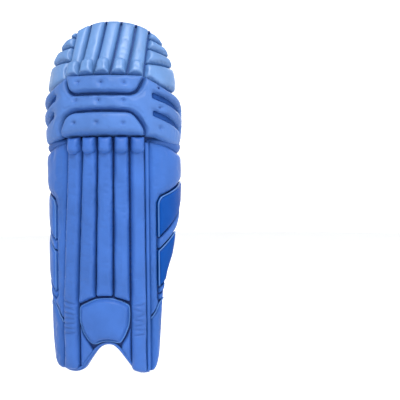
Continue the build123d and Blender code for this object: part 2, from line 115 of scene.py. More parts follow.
def leaned(u, z, n):
    """Points of the top flap, which leans back about its flex line."""
    p = surface(u, z, n)
    dy, dz = p[..., 1] - HINGE_Y, p[..., 2] - FLAP_HINGE_Z
    y = HINGE_Y + dy * math.cos(FLAP_TILT) + dz * math.sin(FLAP_TILT)
    height = FLAP_HINGE_Z - dy * math.sin(FLAP_TILT) + dz * math.cos(FLAP_TILT)
    return np.stack([p[..., 0], y, height], axis=-1)


def tilted(u, z, n):
    """Points of the top flap that stay above its lower edge."""
    p = leaned(u, z, n)
    p[..., 2] = np.maximum(p[..., 2], flap_floor(u))
    return p


def knee_top(u):
    """Height of the knee section's upper edge."""
    return np.interp(np.abs(u), [27, 60, 79, 108, 150, 190], [588.5, 587.0, 583.0, 568.0, 557.5, 545.5])


def flap_floor(u):
    """Height of the top flap's lower edge, clear of the knee section when the flap leans back."""
    behind = np.maximum(surface(u, 0, 0)[..., 1] - HINGE_Y, 0)
    return knee_top(u) + 2.6 + behind * math.sin(math.radians(8.0))


def upright(height, u, n):
    """The height that a point at (u, n) has before the flap is leaned back, when it ends at height."""
    dy = surface(u, 0, n)[..., 1] - HINGE_Y
    return FLAP_HINGE_Z + (height - FLAP_HINGE_Z + dy * math.sin(FLAP_TILT)) / math.cos(FLAP_TILT)


def flap_foot(u, n):
    """The flap's lower edge before it is leaned back, where a layer of height n meets its floor."""
    return upright(flap_floor(u), u, n)


# ---- outlines -----------------------------------------------------------------------------------
def between(low, top, row, z):
    """A groove's u at height z."""
    return low + (top - low) * max(0.0, (z - row[0]) / (row[1] - row[0]))


def along(points, z):
    """u of an edge, given as (u, z) points, at height z."""
    points = sorted(points, key=lambda p: p[1])
    return float(np.interp(z, [p[1] for p in points], [p[0] for p in points]))


def bend(before, here, after, radius, count):
    """Points of the curve that rounds a corner."""
    arms = []
    for other in (before, after):
        reach = np.linalg.norm(other - here)
        arms.append(here + (other - here) / max(reach, 1e-6) * min(radius, reach * 0.49))
    a, b = arms
    return [(1 - t) ** 2 * a + 2 * t * (1 - t) * here + t ** 2 * b for t in np.linspace(0, 1, count)]


def rounded(points, radius):
    """An outline with its corners rounded.  A corner may carry its own radius as a third value."""
    out, count = [], len(points)
    for i, point in enumerate(points):
        here, before, after = (np.array(points[k % count][:2], float) for k in (i, i - 1, i + 1))
        out += bend(before, here, after, point[2] if len(point) > 2 else radius, 7)
    return np.array(out)


def smooth_line(points, radius):
    """An open line with its corners rounded."""
    pts = [np.array(p[:2], float) for p in points]
    out = [pts[0]]
    for before, here, after in zip(pts, pts[1:], pts[2:]):
        out += bend(before, here, after, radius, 6)
    return np.array([*out, pts[-1]])


def oblong(u0, z0, u1, z1):
    """A rectangle's corners."""
    return [(u0, z0), (u1, z0), (u1, z1), (u0, z1)]


def resampled(points, step, closed=True):
    """Points evenly spaced along a line, about step apart."""
    pts = np.vstack([points, points[:1]]) if closed else np.asarray(points, float)
    runs = np.linalg.norm(np.diff(pts, axis=0), axis=1)
    keep = np.append(True, runs > 1e-6)
    pts, runs = pts[keep], runs[runs > 1e-6]
    length = np.concatenate([[0], np.cumsum(runs)])
    count = max(3, int(round(length[-1] / step)))
    at = np.linspace(0, length[-1], count + 1)
    line = np.stack([np.interp(at, length, pts[:, k]) for k in range(pts.shape[1])], axis=1)
    return line[:-1] if closed else line


def edge_distance(points, loops):
    """Distance of each point to the nearest edge of the outline loops."""
    best = np.full(len(points), 1e9)
    for loop in loops:
        a, b = loop, np.roll(loop, -1, axis=0)
        for k in range(0, len(points), 1500):
            p = points[k:k + 1500, None, :]
            ab = (b - a)[None]
            t = np.clip(((p - a[None]) * ab).sum(-1) / np.maximum((ab ** 2).sum(-1), 1e-9), 0, 1)
            gap = np.linalg.norm(p - (a[None] + t[..., None] * ab), axis=-1).min(axis=1)
            best[k:k + 1500] = np.minimum(best[k:k + 1500], gap)
    return best


def inside(points, loop):
    """Whether each point is inside the loop."""
    x, y = points[:, 0][:, None], points[:, 1][:, None]
    ax, ay = loop[:, 0][None], loop[:, 1][None]
    bx, by = np.roll(loop, -1, axis=0)[:, 0][None], np.roll(loop, -1, axis=0)[:, 1][None]
    crosses = (ay > y) != (by > y)
    slope = (bx - ax) / np.where(by == ay, 1e-9, by - ay)
    return (crosses & (x < ax + (y - ay) * slope)).sum(axis=1) % 2 == 1


def within(points, loops):
    """Whether each point is inside the outline and outside its holes."""
    keep = inside(points, loops[0])
    for hole in loops[1:]:
        keep &= ~inside(points, hole)
    return keep


def unit(rows):
    """Vectors scaled to length 1."""
    return rows / np.maximum(np.linalg.norm(rows, axis=-1, keepdims=True), 1e-9)


def triangulated(loops, step, rings):
    """Fills an outline and its holes with triangles: returns the points, which of them are on each
    loop, the triangles and the edge distances.  Rings of points follow the outline, so that a
    rounded edge is smooth."""
    low, high = loops[0].min(axis=0), loops[0].max(axis=0)
    cols, rows = np.arange(low[0], high[0], step), np.arange(low[1], high[1], step * 0.87)
    grid = np.array([(u + (step / 2 if k % 2 else 0), z) for k, z in enumerate(rows) for u in cols])
    layers = []
    for loop in loops:
        ahead = np.roll(loop, -1, axis=0)
        tangent = ahead - np.roll(loop, 1, axis=0)
        normal = unit(np.stack([-tangent[:, 1], tangent[:, 0]], axis=1))
        for k, depth in enumerate(rings):
            shifted = loop if k % 2 == 0 else (loop + ahead) / 2
            layers += [(shifted + normal * depth, depth * 0.93), (shifted - normal * depth, depth * 0.93)]
    layers.append((grid, (rings[-1] if rings else 0) + step * 0.55))
    points = [*loops]
    for layer, clear in layers:
        layer = layer[within(layer, loops)]
        points.append(layer[edge_distance(layer, loops) > clear])
    starts = np.cumsum([0] + [len(loop) for loop in loops]).tolist()
    edges = [(start + i, start + (i + 1) % len(loop))
             for start, loop in zip(starts, loops) for i in range(len(loop))]
    points = [Vector(p) for p in np.vstack(points)]
    verts, _, faces, origin, _, _ = delaunay_2d_cdt(points, edges, [], 0, 1e-5)
    flat = np.array([tuple(v) for v in verts])
    faces = np.array([f for f in faces if len(f) == 3])
    faces = faces[within(flat[faces].mean(axis=1), loops)]
    a, b, c = (flat[faces[:, k]] for k in range(3))
    turn = (b[:, 0] - a[:, 0]) * (c[:, 1] - a[:, 1]) - (b[:, 1] - a[:, 1]) * (c[:, 0] - a[:, 0])
    faces[turn < 0] = faces[turn < 0][:, ::-1]
    now = {old: new for new, merged in enumerate(origin) for old in merged}
    rim = [[now[start + i] for i in range(len(loop))] for start, loop in zip(starts, loops)]
    return flat, rim, faces, edge_distance(flat, loops)


# ---- meshes -------------------------------------------------------------------------------------
UNDER_STEP = 12.0               # spacing of the points on a pad's flat inner side
SETTLE_FRAMES = 16


def add_to_scene(name, data):
    """An object with the given data, in the scene."""
    obj = bpy.data.objects.new(name, data)
    bpy.context.scene.collection.objects.link(obj)
    return obj


def new_object(name, verts, faces, material, smooth=True):
    """A mesh from points in millimetres."""
    mesh = bpy.data.meshes.new(name)
    mesh.from_pydata([tuple(v) for v in np.asarray(verts) * 0.001], [], [tuple(f) for f in faces])
    mesh.update()
    mesh.validate()
    for polygon in mesh.polygons:
        polygon.use_smooth = smooth
    mesh.materials.append(material)
    return add_to_scene(name, mesh)


def face_outward(obj):
    """Turns every face of a closed mesh outward."""
    mesh = bmesh.new()
    mesh.from_mesh(obj.data)
    bmesh.ops.recalc_face_normals(mesh, faces=mesh.faces)
    mesh.to_mesh(obj.data)
    mesh.free()


def around(count):
    """Cosine and sine of evenly spaced turns."""
    return [(math.cos(2 * math.pi * k / count), math.sin(2 * math.pi * k / count)) for k in range(count)]


def ring_faces(rows, ring, closed=False, start=0):
    """Faces over rings of points, with the ends capped unless the rings close on themselves."""
    faces = []
    for i in range(rows if closed else rows - 1):
        j = (i + 1) % rows
        for k in range(ring):
            m = (k + 1) % ring
            faces.append((i * ring + k, i * ring + m, j * ring + m, j * ring + k))
    if not closed:
        faces += [tuple(range(ring))[::-1], tuple((rows - 1) * ring + k for k in range(ring))]
    return [tuple(start + v for v in face) for face in faces]


def finish_piece(obj, body, nodes=(), slack=0.0, cap=2.5):
    """Settles a piece if it has slack, and says what it rides on and the CAD nodes it replaces."""
    if slack:
        settled(obj, slack, cap)
    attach(obj, body)
    if nodes:
        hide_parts(*nodes)


def pad(name, outline, top, base, material, holes=(), step=3.0, rings=(0.5, 1.3, 2.6, 4.4), place=surface):
    """A closed padded form over an outline.  Its outer n is top(u, z, d) at edge distance d, its
    inner n is base(u, z), and either may be a number."""
    loops = []
    for k, ring in enumerate([outline, *holes]):
        ring = resampled(np.asarray(ring, float), min(step, 2.6))
        area = (ring[:, 0] * np.roll(ring[:, 1], -1) - np.roll(ring[:, 0], -1) * ring[:, 1]).sum()
        loops.append(ring[::-1] if (area < 0) == (k == 0) else ring)
    flat, rim, faces, depth = triangulated(loops, step, rings)
    depth[[i for ring in rim for i in ring]] = 0.0
    u, z = flat[:, 0], flat[:, 1]
    verts = list(place(u, z, top(u, z, depth) if callable(top) else top))
    under, under_rim, under_faces, _ = triangulated(loops, UNDER_STEP, ())
    u, z = under[:, 0], under[:, 1]
    shift = len(verts)
    verts += list(place(u, z, base(u, z) if callable(base) else base))
    all_faces = [tuple(f) for f in faces] + [tuple(f[::-1] + shift) for f in under_faces]
    for upper, lower in zip(rim, under_rim):
        for i in range(len(upper)):
            j = (i + 1) % len(upper)
            all_faces.append((upper[j], upper[i], lower[i] + shift, lower[j] + shift))
    obj = new_object(name, verts, all_faces, material)
    seam = obj.vertex_groups.new(name="seam")
    seam.add([int(i) for ring in rim for i in ring] + list(range(shift, len(verts))), 1.0, "REPLACE")
    return obj


def settled(obj, slack, cap):
    """Lets a padded cover settle as cloth over its filling.  Its seams and back stay where they are,
    and no point moves more than cap."""
    scene, mesh = bpy.context.scene, obj.data
    rest = np.array([v.co for v in mesh.vertices])
    cloth = obj.modifiers.new("cover", "CLOTH")
    settings = cloth.settings
    settings.quality = 4
    settings.mass = 0.15
    settings.tension_stiffness = settings.compression_stiffness = settings.shear_stiffness = 12.0
    settings.bending_stiffness = 0.3
    settings.shrink_min = -slack
    settings.use_pressure = True
    settings.uniform_pressure_force = 4.0
    settings.vertex_group_mass = "seam"
    settings.pin_stiffness = 1.0
    settings.effector_weights.gravity = 0
    cloth.collision_settings.use_collision = False
    cloth.collision_settings.use_self_collision = False
    cloth.point_cache.frame_start, cloth.point_cache.frame_end = 1, SETTLE_FRAMES
    for number in range(1, SETTLE_FRAMES + 1):
        scene.frame_set(number)
    moved = obj.evaluated_get(bpy.context.evaluated_depsgraph_get()).data
    step = np.array([v.co for v in moved.vertices]) - rest
    obj.modifiers.remove(cloth)
    scene.frame_set(1)
    length = np.maximum(np.linalg.norm(step, axis=1, keepdims=True), 1e-9)
    step *= np.minimum(1.0, cap * 0.001 / length)
    mesh.vertices.foreach_set("co", (rest + step).ravel())
    mesh.update()


def round_edge(d, radius):
    """How far a rounded edge has risen at distance d from the seam, from 0 to 1."""
    return np.sqrt(np.clip(1 - (1 - np.clip(d / radius, 0, 1)) ** 2, 0, 1))


def pillow(edge, crown, radius, span, rise=0.0):
    """A cushion's profile: n at its seam, its crown, how round its edge is and how far the crown spreads."""
    def top(u, z, d):
        swell = 1 - (1 - np.clip(d / span, 0, 1)) ** 2
        return edge + (crown - rise - edge) * round_edge(d, radius) + rise * swell
    return top


def tube(name, points, radius, material, sides=8, closed=False):
    """A round cord along points (x, y, z), such as piping or a rolled edge."""
    pts = np.asarray(points, float)
    ahead = np.roll(pts, -1, axis=0) if closed else np.vstack([pts[1:], pts[-1:] * 2 - pts[-2:-1]])
    behind = np.roll(pts, 1, axis=0) if closed else np.vstack([pts[:1] * 2 - pts[1:2], pts[:-1]])
    tangent = unit(ahead - behind)
    up = unit(np.cross(tangent, [0.31, 0.2, 0.93]))
    for i in range(1, len(up)):
        flat = up[i - 1] - tangent[i] * np.dot(up[i - 1], tangent[i])
        up[i] = flat / max(np.linalg.norm(flat), 1e-9)
    across = np.cross(tangent, up)
    rings = np.stack([pts + (up * c + across * s) * radius for c, s in around(sides)], axis=1)
    return new_object(name, rings.reshape(-1, 3), ring_faces(len(pts), sides, closed), material)


def binding(name, points, n_mid, half_n, bulge, place=surface, radius=6.0, sides=10):
    """Edge tape: a flattened tube along a line of (u, z) points, as thick as the layers it wraps."""
    flat = resampled(smooth_line(points, radius), 4.0, closed=False)
    mid = place(flat[:, 0], flat[:, 1], n_mid)
    outward = unit(place(flat[:, 0], flat[:, 1], n_mid + 2.0) - mid)
    sideways = unit(np.cross(np.gradient(mid, axis=0), outward))
    rings = []
    for c, s in around(sides):
        squared = (abs(c) ** 3 + abs(s) ** 3) ** (-1 / 3)
        rings.append(mid + outward * half_n * c * squared + sideways * bulge * s * squared)
    verts = np.stack(rings, axis=1).reshape(-1, 3)
    obj = new_object(name, verts, ring_faces(len(mid), sides), LEATHER_EDGE)
    face_outward(obj)
    return obj


def button(u, z, n, place=surface, sides=10):
    """A small domed tuft button in dark leather, painted as the shade in a tuft's dimple."""
    centre, outward = place(u, z, n), place(u, z, n + 1) - place(u, z, n)
    up = np.array([0, 0, 1.0])
    side = np.cross(outward, up)
    verts = []
    for radius, lift in ((2.6, -1.0), (2.6, 0.0), (1.9, 0.6), (0.9, 0.9)):
        verts += [centre + (side * c * radius + up * s * radius) + outward * lift for c, s in around(sides)]
    obj = new_object("button", verts, ring_faces(4, sides), LEATHER_PAINTED_SHADE)
    face_outward(obj)
    return obj


def line_on(points, n, step=3.0, closed=False):
    """Points (x, y, z) along a line of (u, z) points at height n."""
    flat = rounded(points, 6.0) if closed else smooth_line(points, 6.0)
    flat = resampled(flat, step, closed)
    return surface(flat[:, 0], flat[:, 1], n)


def joined(objects, name):
    """Several objects as one mesh."""
    verts, faces, material, start = [], [], objects[0].data.materials[0], 0
    for obj in objects:
        verts += [tuple(v.co * 1000) for v in obj.data.vertices]
        faces += [tuple(i + start for i in p.vertices) for p in obj.data.polygons]
        start = len(verts)
        mesh = obj.data
        bpy.data.objects.remove(obj)
        bpy.data.meshes.remove(mesh)
    return new_object(name, verts, faces, material)


# ---- materials ----------------------------------------------------------------------------------
def new_material(name, stretch=(1, 1, 1)):
    """A material: returns it, its node tree, its shader and the place on the object."""
    material = bpy.data.materials.new(name)
    material.use_nodes = True
    tree = material.node_tree
    where = add(tree, "Mapping", {"Scale": stretch})
    link(tree, add(tree, "TexCoord"), "Object", where, "Vector")
    return material, tree, tree.nodes["Principled BSDF"], where


def link(tree, a, out, b, into):
    """Joins an output of node a to an input of node b."""
    tree.links.new(a.outputs[out], b.inputs[into])


def set_inputs(node, values):
    """Gives a node's inputs their values."""
    for key, value in values.items():
        node.inputs[key].default_value = value


def add(tree, kind, inputs=None, **settings):
    """A shader node with some of its settings and inputs given."""
    node = tree.nodes.new(f"ShaderNode{kind}")
    for key, value in settings.items():
        setattr(node, key, value)
    set_inputs(node, inputs or {})
    return node


def noise(tree, source, scale, detail=3.0, roughness=0.55):
    """A noise texture in the space of the object."""
    node = add(tree, "TexNoise", {"Scale": scale, "Detail": detail, "Roughness": roughness})
    link(tree, source, "Vector", node, "Vector")
    return node


def ramp(tree, source, out, *stops):
    """A colour that runs between two (position, colour) stops."""
    node = add(tree, "ValToRGB")
    for element, (position, color) in zip(node.color_ramp.elements, stops):
        element.position, element.color = position, (*color, 1)
    link(tree, source, out, node, "Fac")
    return node


def bump(tree, source, out, strength, distance, after=None):
    """A bump from a texture's output, on top of the bump before it."""
    node = add(tree, "Bump", {"Strength": strength, "Distance": distance})
    link(tree, source, out, node, "Height")
    if after:
        link(tree, after, "Normal", node, "Normal")
    return node


def tint(tree, a, b, shader):
    """Gives the shader the product of two colours."""
    mix = add(tree, "Mix", {"Factor": 1.0}, data_type="RGBA", blend_type="MULTIPLY")
    link(tree, a, "Color", mix, 6)
    link(tree, b, "Color", mix, 7)
    link(tree, mix, 2, shader, "Base Color")


def shade(color, factor):
    """A colour made lighter or darker."""
    return tuple(min(1.0, c * factor) for c in color)


def leather(name, color, rough=0.42, shine=0.2):
    """Coated leather: fine pebble grain, faint creases, slight colour drift and a worn sheen."""
    material, tree, shader, where = new_material(name)
    drift = noise(tree, where, 14.0)
    tone = ramp(tree, drift, "Fac", (0.32, shade(color, 0.88)), (0.68, shade(color, 1.1)))
    fine = noise(tree, where, 900.0, 2.0, 0.6)
    tint(tree, tone, ramp(tree, fine, "Fac", (0.3, (0.93, 0.93, 0.95)), (0.7, (1, 1, 1))), shader)
    cells = add(tree, "TexVoronoi", {"Scale": 780.0}, feature="SMOOTH_F1")
    link(tree, where, "Vector", cells, "Vector")
    pebble = bump(tree, cells, "Distance", 0.16, 0.0004)
    crease = bump(tree, noise(tree, where, 90.0, 4.0, 0.65), "Fac", 0.10, 0.0022, pebble)
    link(tree, crease, "Normal", shader, "Normal")
    spread = add(tree, "MapRange", {"From Min": 0.3, "From Max": 0.7,
                                    "To Min": rough - 0.05, "To Max": rough + 0.08})
    link(tree, noise(tree, where, 36.0, 4.0), "Fac", spread, "Value")
    link(tree, spread, "Result", shader, "Roughness")
    set_inputs(shader, {"Specular IOR Level": shine})
    return material


def woven(name, color, pitch, strength, rough=0.9, dark=0.72, sheen=0.08, ribs=True):
    """Woven or looped cloth: small knots of the given pitch in metres, in rows if it has ribs."""
    material, tree, shader, where = new_material(name)
    knots = add(tree, "TexVoronoi", {"Scale": 1.0 / pitch})
    link(tree, where, "Vector", knots, "Vector")
    weave = add(tree, "Math", {1: 1.4}, operation="MULTIPLY")
    link(tree, knots, "Distance", weave, 0)
    if ribs:
        rows = add(tree, "TexWave", {"Scale": 0.314 / pitch, "Distortion": 0.6}, bands_direction="Z")
        link(tree, where, "Vector", rows, "Vector")
        link(tree, rows, "Fac", weave, 1)
    nap = noise(tree, where, 160.0)
    tint(tree, ramp(tree, weave, "Value", (0.05, shade(color, 1.12)), (0.75, shade(color, dark))),
         ramp(tree, nap, "Fac", (0.3, (0.85, 0.85, 0.87)), (0.7, (1, 1, 1))), shader)
    first = bump(tree, weave, "Value", strength, pitch * 0.5)
    link(tree, bump(tree, nap, "Fac", 0.2, 0.0006, first), "Normal", shader, "Normal")
    set_inputs(shader, {"Roughness": rough, "Sheen Weight": sheen, "Specular IOR Level": 0.15})
    return material


def speckled(name, color, scale, strength, rough, stretch=(1, 1, 1), spread=0.2, glow=0.0):
    """A foam, moulded, wooden or paper surface: drifting colour with cells or fibres."""
    material, tree, shader, where = new_material(name, stretch)
    cells = noise(tree, where, scale, 4.0)
    tone = ramp(tree, cells, "Fac", (0.35, shade(color, 1 - spread)), (0.65, shade(color, 1 + spread * 0.7)))
    link(tree, tone, "Color", shader, "Base Color")
    link(tree, bump(tree, cells, "Fac", strength, 0.0006), "Normal", shader, "Normal")
    set_inputs(shader, {"Roughness": rough})
    if glow:
        set_inputs(shader, {"Emission Color": (1, 1, 1, 1), "Emission Strength": glow})
    return material


LEATHER_SHIN = leather("leather_shin", (0.036, 0.116, 0.395))
LEATHER_KNEE = leather("leather_knee", (0.060, 0.150, 0.410))
# The top flap's leather is lighter than the rest: painted light, for a flap that leans back towards the light
# from above.
LEATHER_FLAP_LIT = leather("leather_flap_painted_light", (0.085, 0.200, 0.440), 0.45, shine=0.6)
LEATHER_WING = leather("leather_wing", (0.030, 0.110, 0.385))
# Deeper, darker blue for the outer wing's raised panels: painted shade, for panels that face sideways, away
# from the light.
LEATHER_PANEL_SHADED = leather("leather_side_panel_painted_shade", (0.001, 0.057, 0.290), 0.46, shine=0.08)
# Near-black blue leather: painted shade, for the section bases that show deep in the grooves between the pads
# and for the tuft buttons in their dimples; the flap's groove ends use it too.
LEATHER_PAINTED_SHADE = leather("leather_painted_deep_shade", (0.009, 0.036, 0.160), 0.6)
# Lighter leather for the welts: painted highlight, for the light caught on the raised edges of the side
# panels, the ankle pads and the instep shield.
LEATHER_PAINTED_HIGHLIGHT = leather("leather_welt_painted_highlight", (0.052, 0.160, 0.440), 0.42, shine=0.4)
LEATHER_FOLD = leather("leather_gusset", (0.026, 0.096, 0.340), 0.5)
# Dark blue leather: painted shade, for the tubes laid in the knee roll's grooves and for the top flap's base
# where it shows between the flap's bolsters.
LEATHER_PAINTED_GROOVE_SHADE = leather("leather_painted_groove_shade", (0.020, 0.074, 0.270), 0.5)
LEATHER_EDGE = leather("leather_binding", (0.036, 0.118, 0.400), 0.38)
LINING = woven("towelling", (0.030, 0.090, 0.290), 0.0019, 0.7, ribs=False)
CUSHION = woven("cushion_towelling", (0.040, 0.118, 0.360), 0.0019, 0.7, ribs=False)
SLOT_MESH = woven("slot_mesh", (0.008, 0.055, 0.235), 0.0012, 0.35, 0.7, 0.85, 0.0)
WEBBING = woven("strap_webbing", (0.012, 0.080, 0.340), 0.0018, 0.6, 0.75)
LOOP_PILE = woven("loop_pile", (0.010, 0.050, 0.230), 0.0009, 0.5, 1.0, 0.7, 0.2, ribs=False)
HOOKS = woven("hook_tape", (0.006, 0.030, 0.150), 0.0012, 0.9, 0.5)
THREAD = leather("sewing_thread", (0.030, 0.090, 0.420), 0.6)
CANE = speckled("cane", (0.55, 0.36, 0.16), 60.0, 0.4, 0.6, (1, 1, 0.06))
SHEET = speckled("plastic_sheet", (0.05, 0.05, 0.06), 300.0, 0.2, 0.5)


# ---- camera, lights and stage -------------------------------------------------------------------
def build_stage():
    """The camera, the lights, and a white paper floor and wall."""
    camera = bpy.data.cameras.new("camera")
    camera.lens, camera.sensor_width = 46.6, 36.0
    view = add_to_scene("camera", camera)
    view.location = (0.181, -1.102, 0.344)
    view.rotation_euler = (math.radians(90), math.radians(0.6), 0)
    bpy.context.scene.camera = view
    for name, place, aim, size, power, color in (
            ("key", (0.35, -1.7, 2.3), (0, 0, 0.4), 0.9, 58, (1, 1, 1)),
            ("fill_left", (-2.2, -1.6, 1.0), (0, 0, 0.35), 2.0, 3, (0.97, 0.98, 1)),
            ("fill_right", (2.4, -1.2, 0.9), (0, 0, 0.3), 2.0, 15, (1, 1, 1)),
            ("back", (0.4, 2.2, 2.0), (0, 0, 0.4), 2.2, 42, (1, 1, 1))):
        light = bpy.data.lights.new(name, "AREA")
        light.size, light.energy, light.color = size, power, color
        lamp = add_to_scene(name, light)
        lamp.location = place
        lamp.rotation_euler = (Vector(aim) - Vector(place)).to_track_quat("-Z", "Y").to_euler()
    world = bpy.data.worlds.new("studio")
    world.use_nodes = True
    set_inputs(world.node_tree.nodes["Background"], {"Color": (0.97, 0.985, 1.0, 1), "Strength": 0.72})
    bpy.context.scene.world = world
    bpy.context.scene.view_settings.view_transform = "Standard"

    low, reach, radius, height, sides = -60, 6000, 5500, 5200, 64
    paper = speckled("paper_floor", (0.86, 0.86, 0.86), 3.0, 0.02, 0.95, spread=0.02, glow=0.3)
    corners = [(x, y, low) for x, y in oblong(-reach, -reach, reach, reach)]
    new_object("floor", corners, [(0, 1, 2, 3)], paper, False)
    turns = [2 * math.pi * k / sides for k in range(sides + 1)]
    wall = [(radius * math.cos(t), radius * math.sin(t), z) for t in turns for z in (low, height)]
    faces = [(2 * k, 2 * k + 2, 2 * k + 3, 2 * k + 1) for k in range(sides)]
    backdrop = new_object("backdrop", wall, faces,
                          speckled("paper_wall", (0.9, 0.9, 0.9), 0.6, 0.0, 1.0, spread=0.01, glow=0.55))
    backdrop.visible_diffuse = False


# ---- shin ---------------------------------------------------------------------------------------
# the creases across a bolster's foot: height, and how steeply each one climbs
WRINKLES = {0: [(84, 0.10), (93, -0.05), (103, 0.04), (113, -0.10), (122, -0.22), (133, -0.3), (144, -0.34)],
            4: [(80, 0.08), (90, -0.12), (99, 0.22), (108, -0.2), (117, 0.3), (127, -0.26), (138, 0.2)]}
BOLSTER_GAP = 1.8
PUFF_FOOT = 435.5
PUFF_RINGS = (0.4, 1.0, 2.0, 3.4, 5.2)


def bolster_outline(index, feet):
    """The outline of one of the shin's bolsters between two grooves."""
    sides = []
    for k, foot in enumerate(feet):
        heights = (foot, BOLSTER_TOP) if feet[0] >= SHIN_ROW[0] - 2 else (foot, SHIN_ROW[0], BOLSTER_TOP)
        groove_low, groove_top = SHIN_LOWS[index + k], SHIN_TOPS[index + k]
        inward = BOLSTER_GAP / 2 * (1 - 2 * k)
        sides.append([(between(groove_low, groove_top, SHIN_ROW, z) + inward, z) for z in heights])
    return sides[1] + sides[0][::-1]


def puff_top(u, z, d):
    """A puffed cap: fullest near its lower end, sinking under the knee roll at its upper end."""
    return 10.0 + (16.0 - 0.16 * np.clip(z - 446, 0, None)) * round_edge(d, 11.0)


def creased(top, middle, creases):
    """A bolster's profile with creases pressed across it."""
    def creased_top(u, z, d):
        n = top(u, z, d)
        for height, slope in creases:
            across = z - height - slope * (u - middle)
            reach = np.clip(d / 5.0, 0, 1) * np.exp(-((u - middle) / 13.0) ** 4)
            n = n + (1.2 * np.exp(-((across - 4) / 2.5) ** 2) - 2.7 * np.exp(-(across / 1.8) ** 2)) * reach
        return n
    return creased_top


def build_shin():
    """The shin's five bolsters, their puffed tops and the strip at the outer seam."""
    feet = [(9, 12), (141, 156), (157, 157), (156, 145), (9, 3)]
    for i in range(5):
        middle = (SHIN_LOWS[i] + SHIN_LOWS[i + 1]) / 2
        top = creased(pillow(3.0, 16.0, 6.5, 15.0, 2.2), middle, WRINKLES.get(i, ()))
        outline = rounded(bolster_outline(i, feet[i]), 10.0 if i in WRINKLES else 5.0)
        bolster = pad(f"shin_bolster_{i + 1}", outline, top, 0.4, LEATHER_SHIN)
        nodes = [f"shin_bolster_{i + 1}_cover"] + (["shin_bolster_foam"] if i == 0 else [])
        finish_piece(bolster, "shin", nodes, 0.02)
        u = (SHIN_TOPS[i] + SHIN_TOPS[i + 1]) / 2
        cap = [(u - 12.6, PUFF_FOOT, 14), (u + 12.6, PUFF_FOOT, 14), (u + 13.0, SHIN_ROW[1], 4),
               (u + 12.4, BOLSTER_TOP, 3), (u - 12.4, BOLSTER_TOP, 3), (u - 13.0, SHIN_ROW[1], 4)]
        puff = pad(f"shin_puff_{i + 1}", rounded(cap, 12), puff_top, 8.0, LEATHER_SHIN,
                   step=2.0, rings=PUFF_RINGS)
        finish_piece(puff, "shin", ["shin_bolster_puffs"] if i == 0 else [], 0.04)
    low, high, seam = SHIN_LOWS[5] - 0.4, SHIN_TOPS[5] - 0.4, 78.8
    strip = [(seam, 7), (seam, 459.5), (high, 459.5), (low, SHIN_ROW[0]), (low, 5)]
    edge = pad("shin_edge_strip", strip, pillow(6.0, 9.0, 1.6, 9.0, 0.3), 0.4, LEATHER_WING,
               step=2.4, rings=(0.3, 0.8, 1.6))
    finish_piece(edge, "shin", [])


SHIELD = [(-58, 137), (-41, 145.5), (-24, 153), (-7, 154.5), (8, 153.5), (24, 148.5), (40.2, 139.5),
          (41.2, 118), (38.8, 98), (30.5, 78), (21.5, 63.5), (10, 67), (-3, 69), (-15, 67), (-27, 61.5),
          (-38, 66), (-50.5, 84), (-58.2, 108)]
SHIELD_MIDDLE = (-9, 106)
INSTEP_GUSSETS = (
    ("inner", [(-58.2, 97), (-51.5, 80), (-40, 63), (-32, 49), (-42, 35.5), (-53.5, 18), (-57.8, 17)]),
    ("outer", [(41.5, 93), (33.5, 76), (24.5, 61), (22.5, 52), (35.5, 32), (42, 21)]))


def build_instep():
    """The instep shield with its welt, a lighter cord painted as the highlight on the shield's edge, and the
    gussets beside it.
    """
    def top(u, z, d):
        bevel = 7.4 * np.clip((d - 2.2) / 6.5, 0, 1)
        return 2.0 + 4.6 * round_edge(d, 3.0) + bevel + 1.0 * (1 - np.exp(-np.clip(d - 9, 0, None) / 14))

    shield = pad("instep_shield_pad", rounded(SHIELD, 7), top, 0.6, LEATHER_SHIN,
                 rings=(0.5, 1.2, 2.4, 4.2, 6.5, 9.0, 11.5))
    finish_piece(shield, "shin", ["instep_shield"], 0.015, 1.5)
    mid_u, mid_z = SHIELD_MIDDLE
    edge = [(mid_u + 0.965 * (u - mid_u), mid_z + 0.965 * (z - mid_z)) for u, z in SHIELD]
    welt = tube("instep_shield_highlight_welt", line_on(edge, 6.9, 2.0, closed=True), 1.4, LEATHER_PAINTED_HIGHLIGHT, closed=True)
    finish_piece(welt, "shin")
    for side, outline in INSTEP_GUSSETS:
        gusset = pad(f"instep_gusset_{side}", rounded(outline, 4), pillow(1.5, 9.0, 6.0, 12.0, 2.0), 0.6,
                     LEATHER_SHIN, step=2.4)
        finish_piece(gusset, "shin", ["instep_gussets"] if side == "inner" else [])


def section_panel(name, outline, body, front, lining, quilt_lines, material=LEATHER_PAINTED_SHADE, place=surface):
    """The base of one section: a padded panel that stands for the node front behind the padding, dark by
    default as painted shade where it shows deep in the grooves, and a quilted lining inside that stands for
    the node lining."""
    def lining_top(u, z, d):
        puff = round_edge(d, 5.0) * 2.6
        for line_u in quilt_lines:
            puff = puff - 2.2 * np.exp(-((u - line_u) / 2.6) ** 2)
        return -9.6 - puff

    base = pad(f"{name}_base", outline, lambda u, z, d: np.minimum(0.2, -2.2 + d * 1.2), -9.0, material,
               step=5.0, rings=(0.8, 2.0), place=place)
    finish_piece(base, body, [front])
    inner = pad(f"{name}_lining", outline, lining_top, -8.6, LINING,
                step=3.6, rings=(0.7, 1.8, 3.4), place=place)
    face_outward(inner)
    finish_piece(inner, body, [lining])


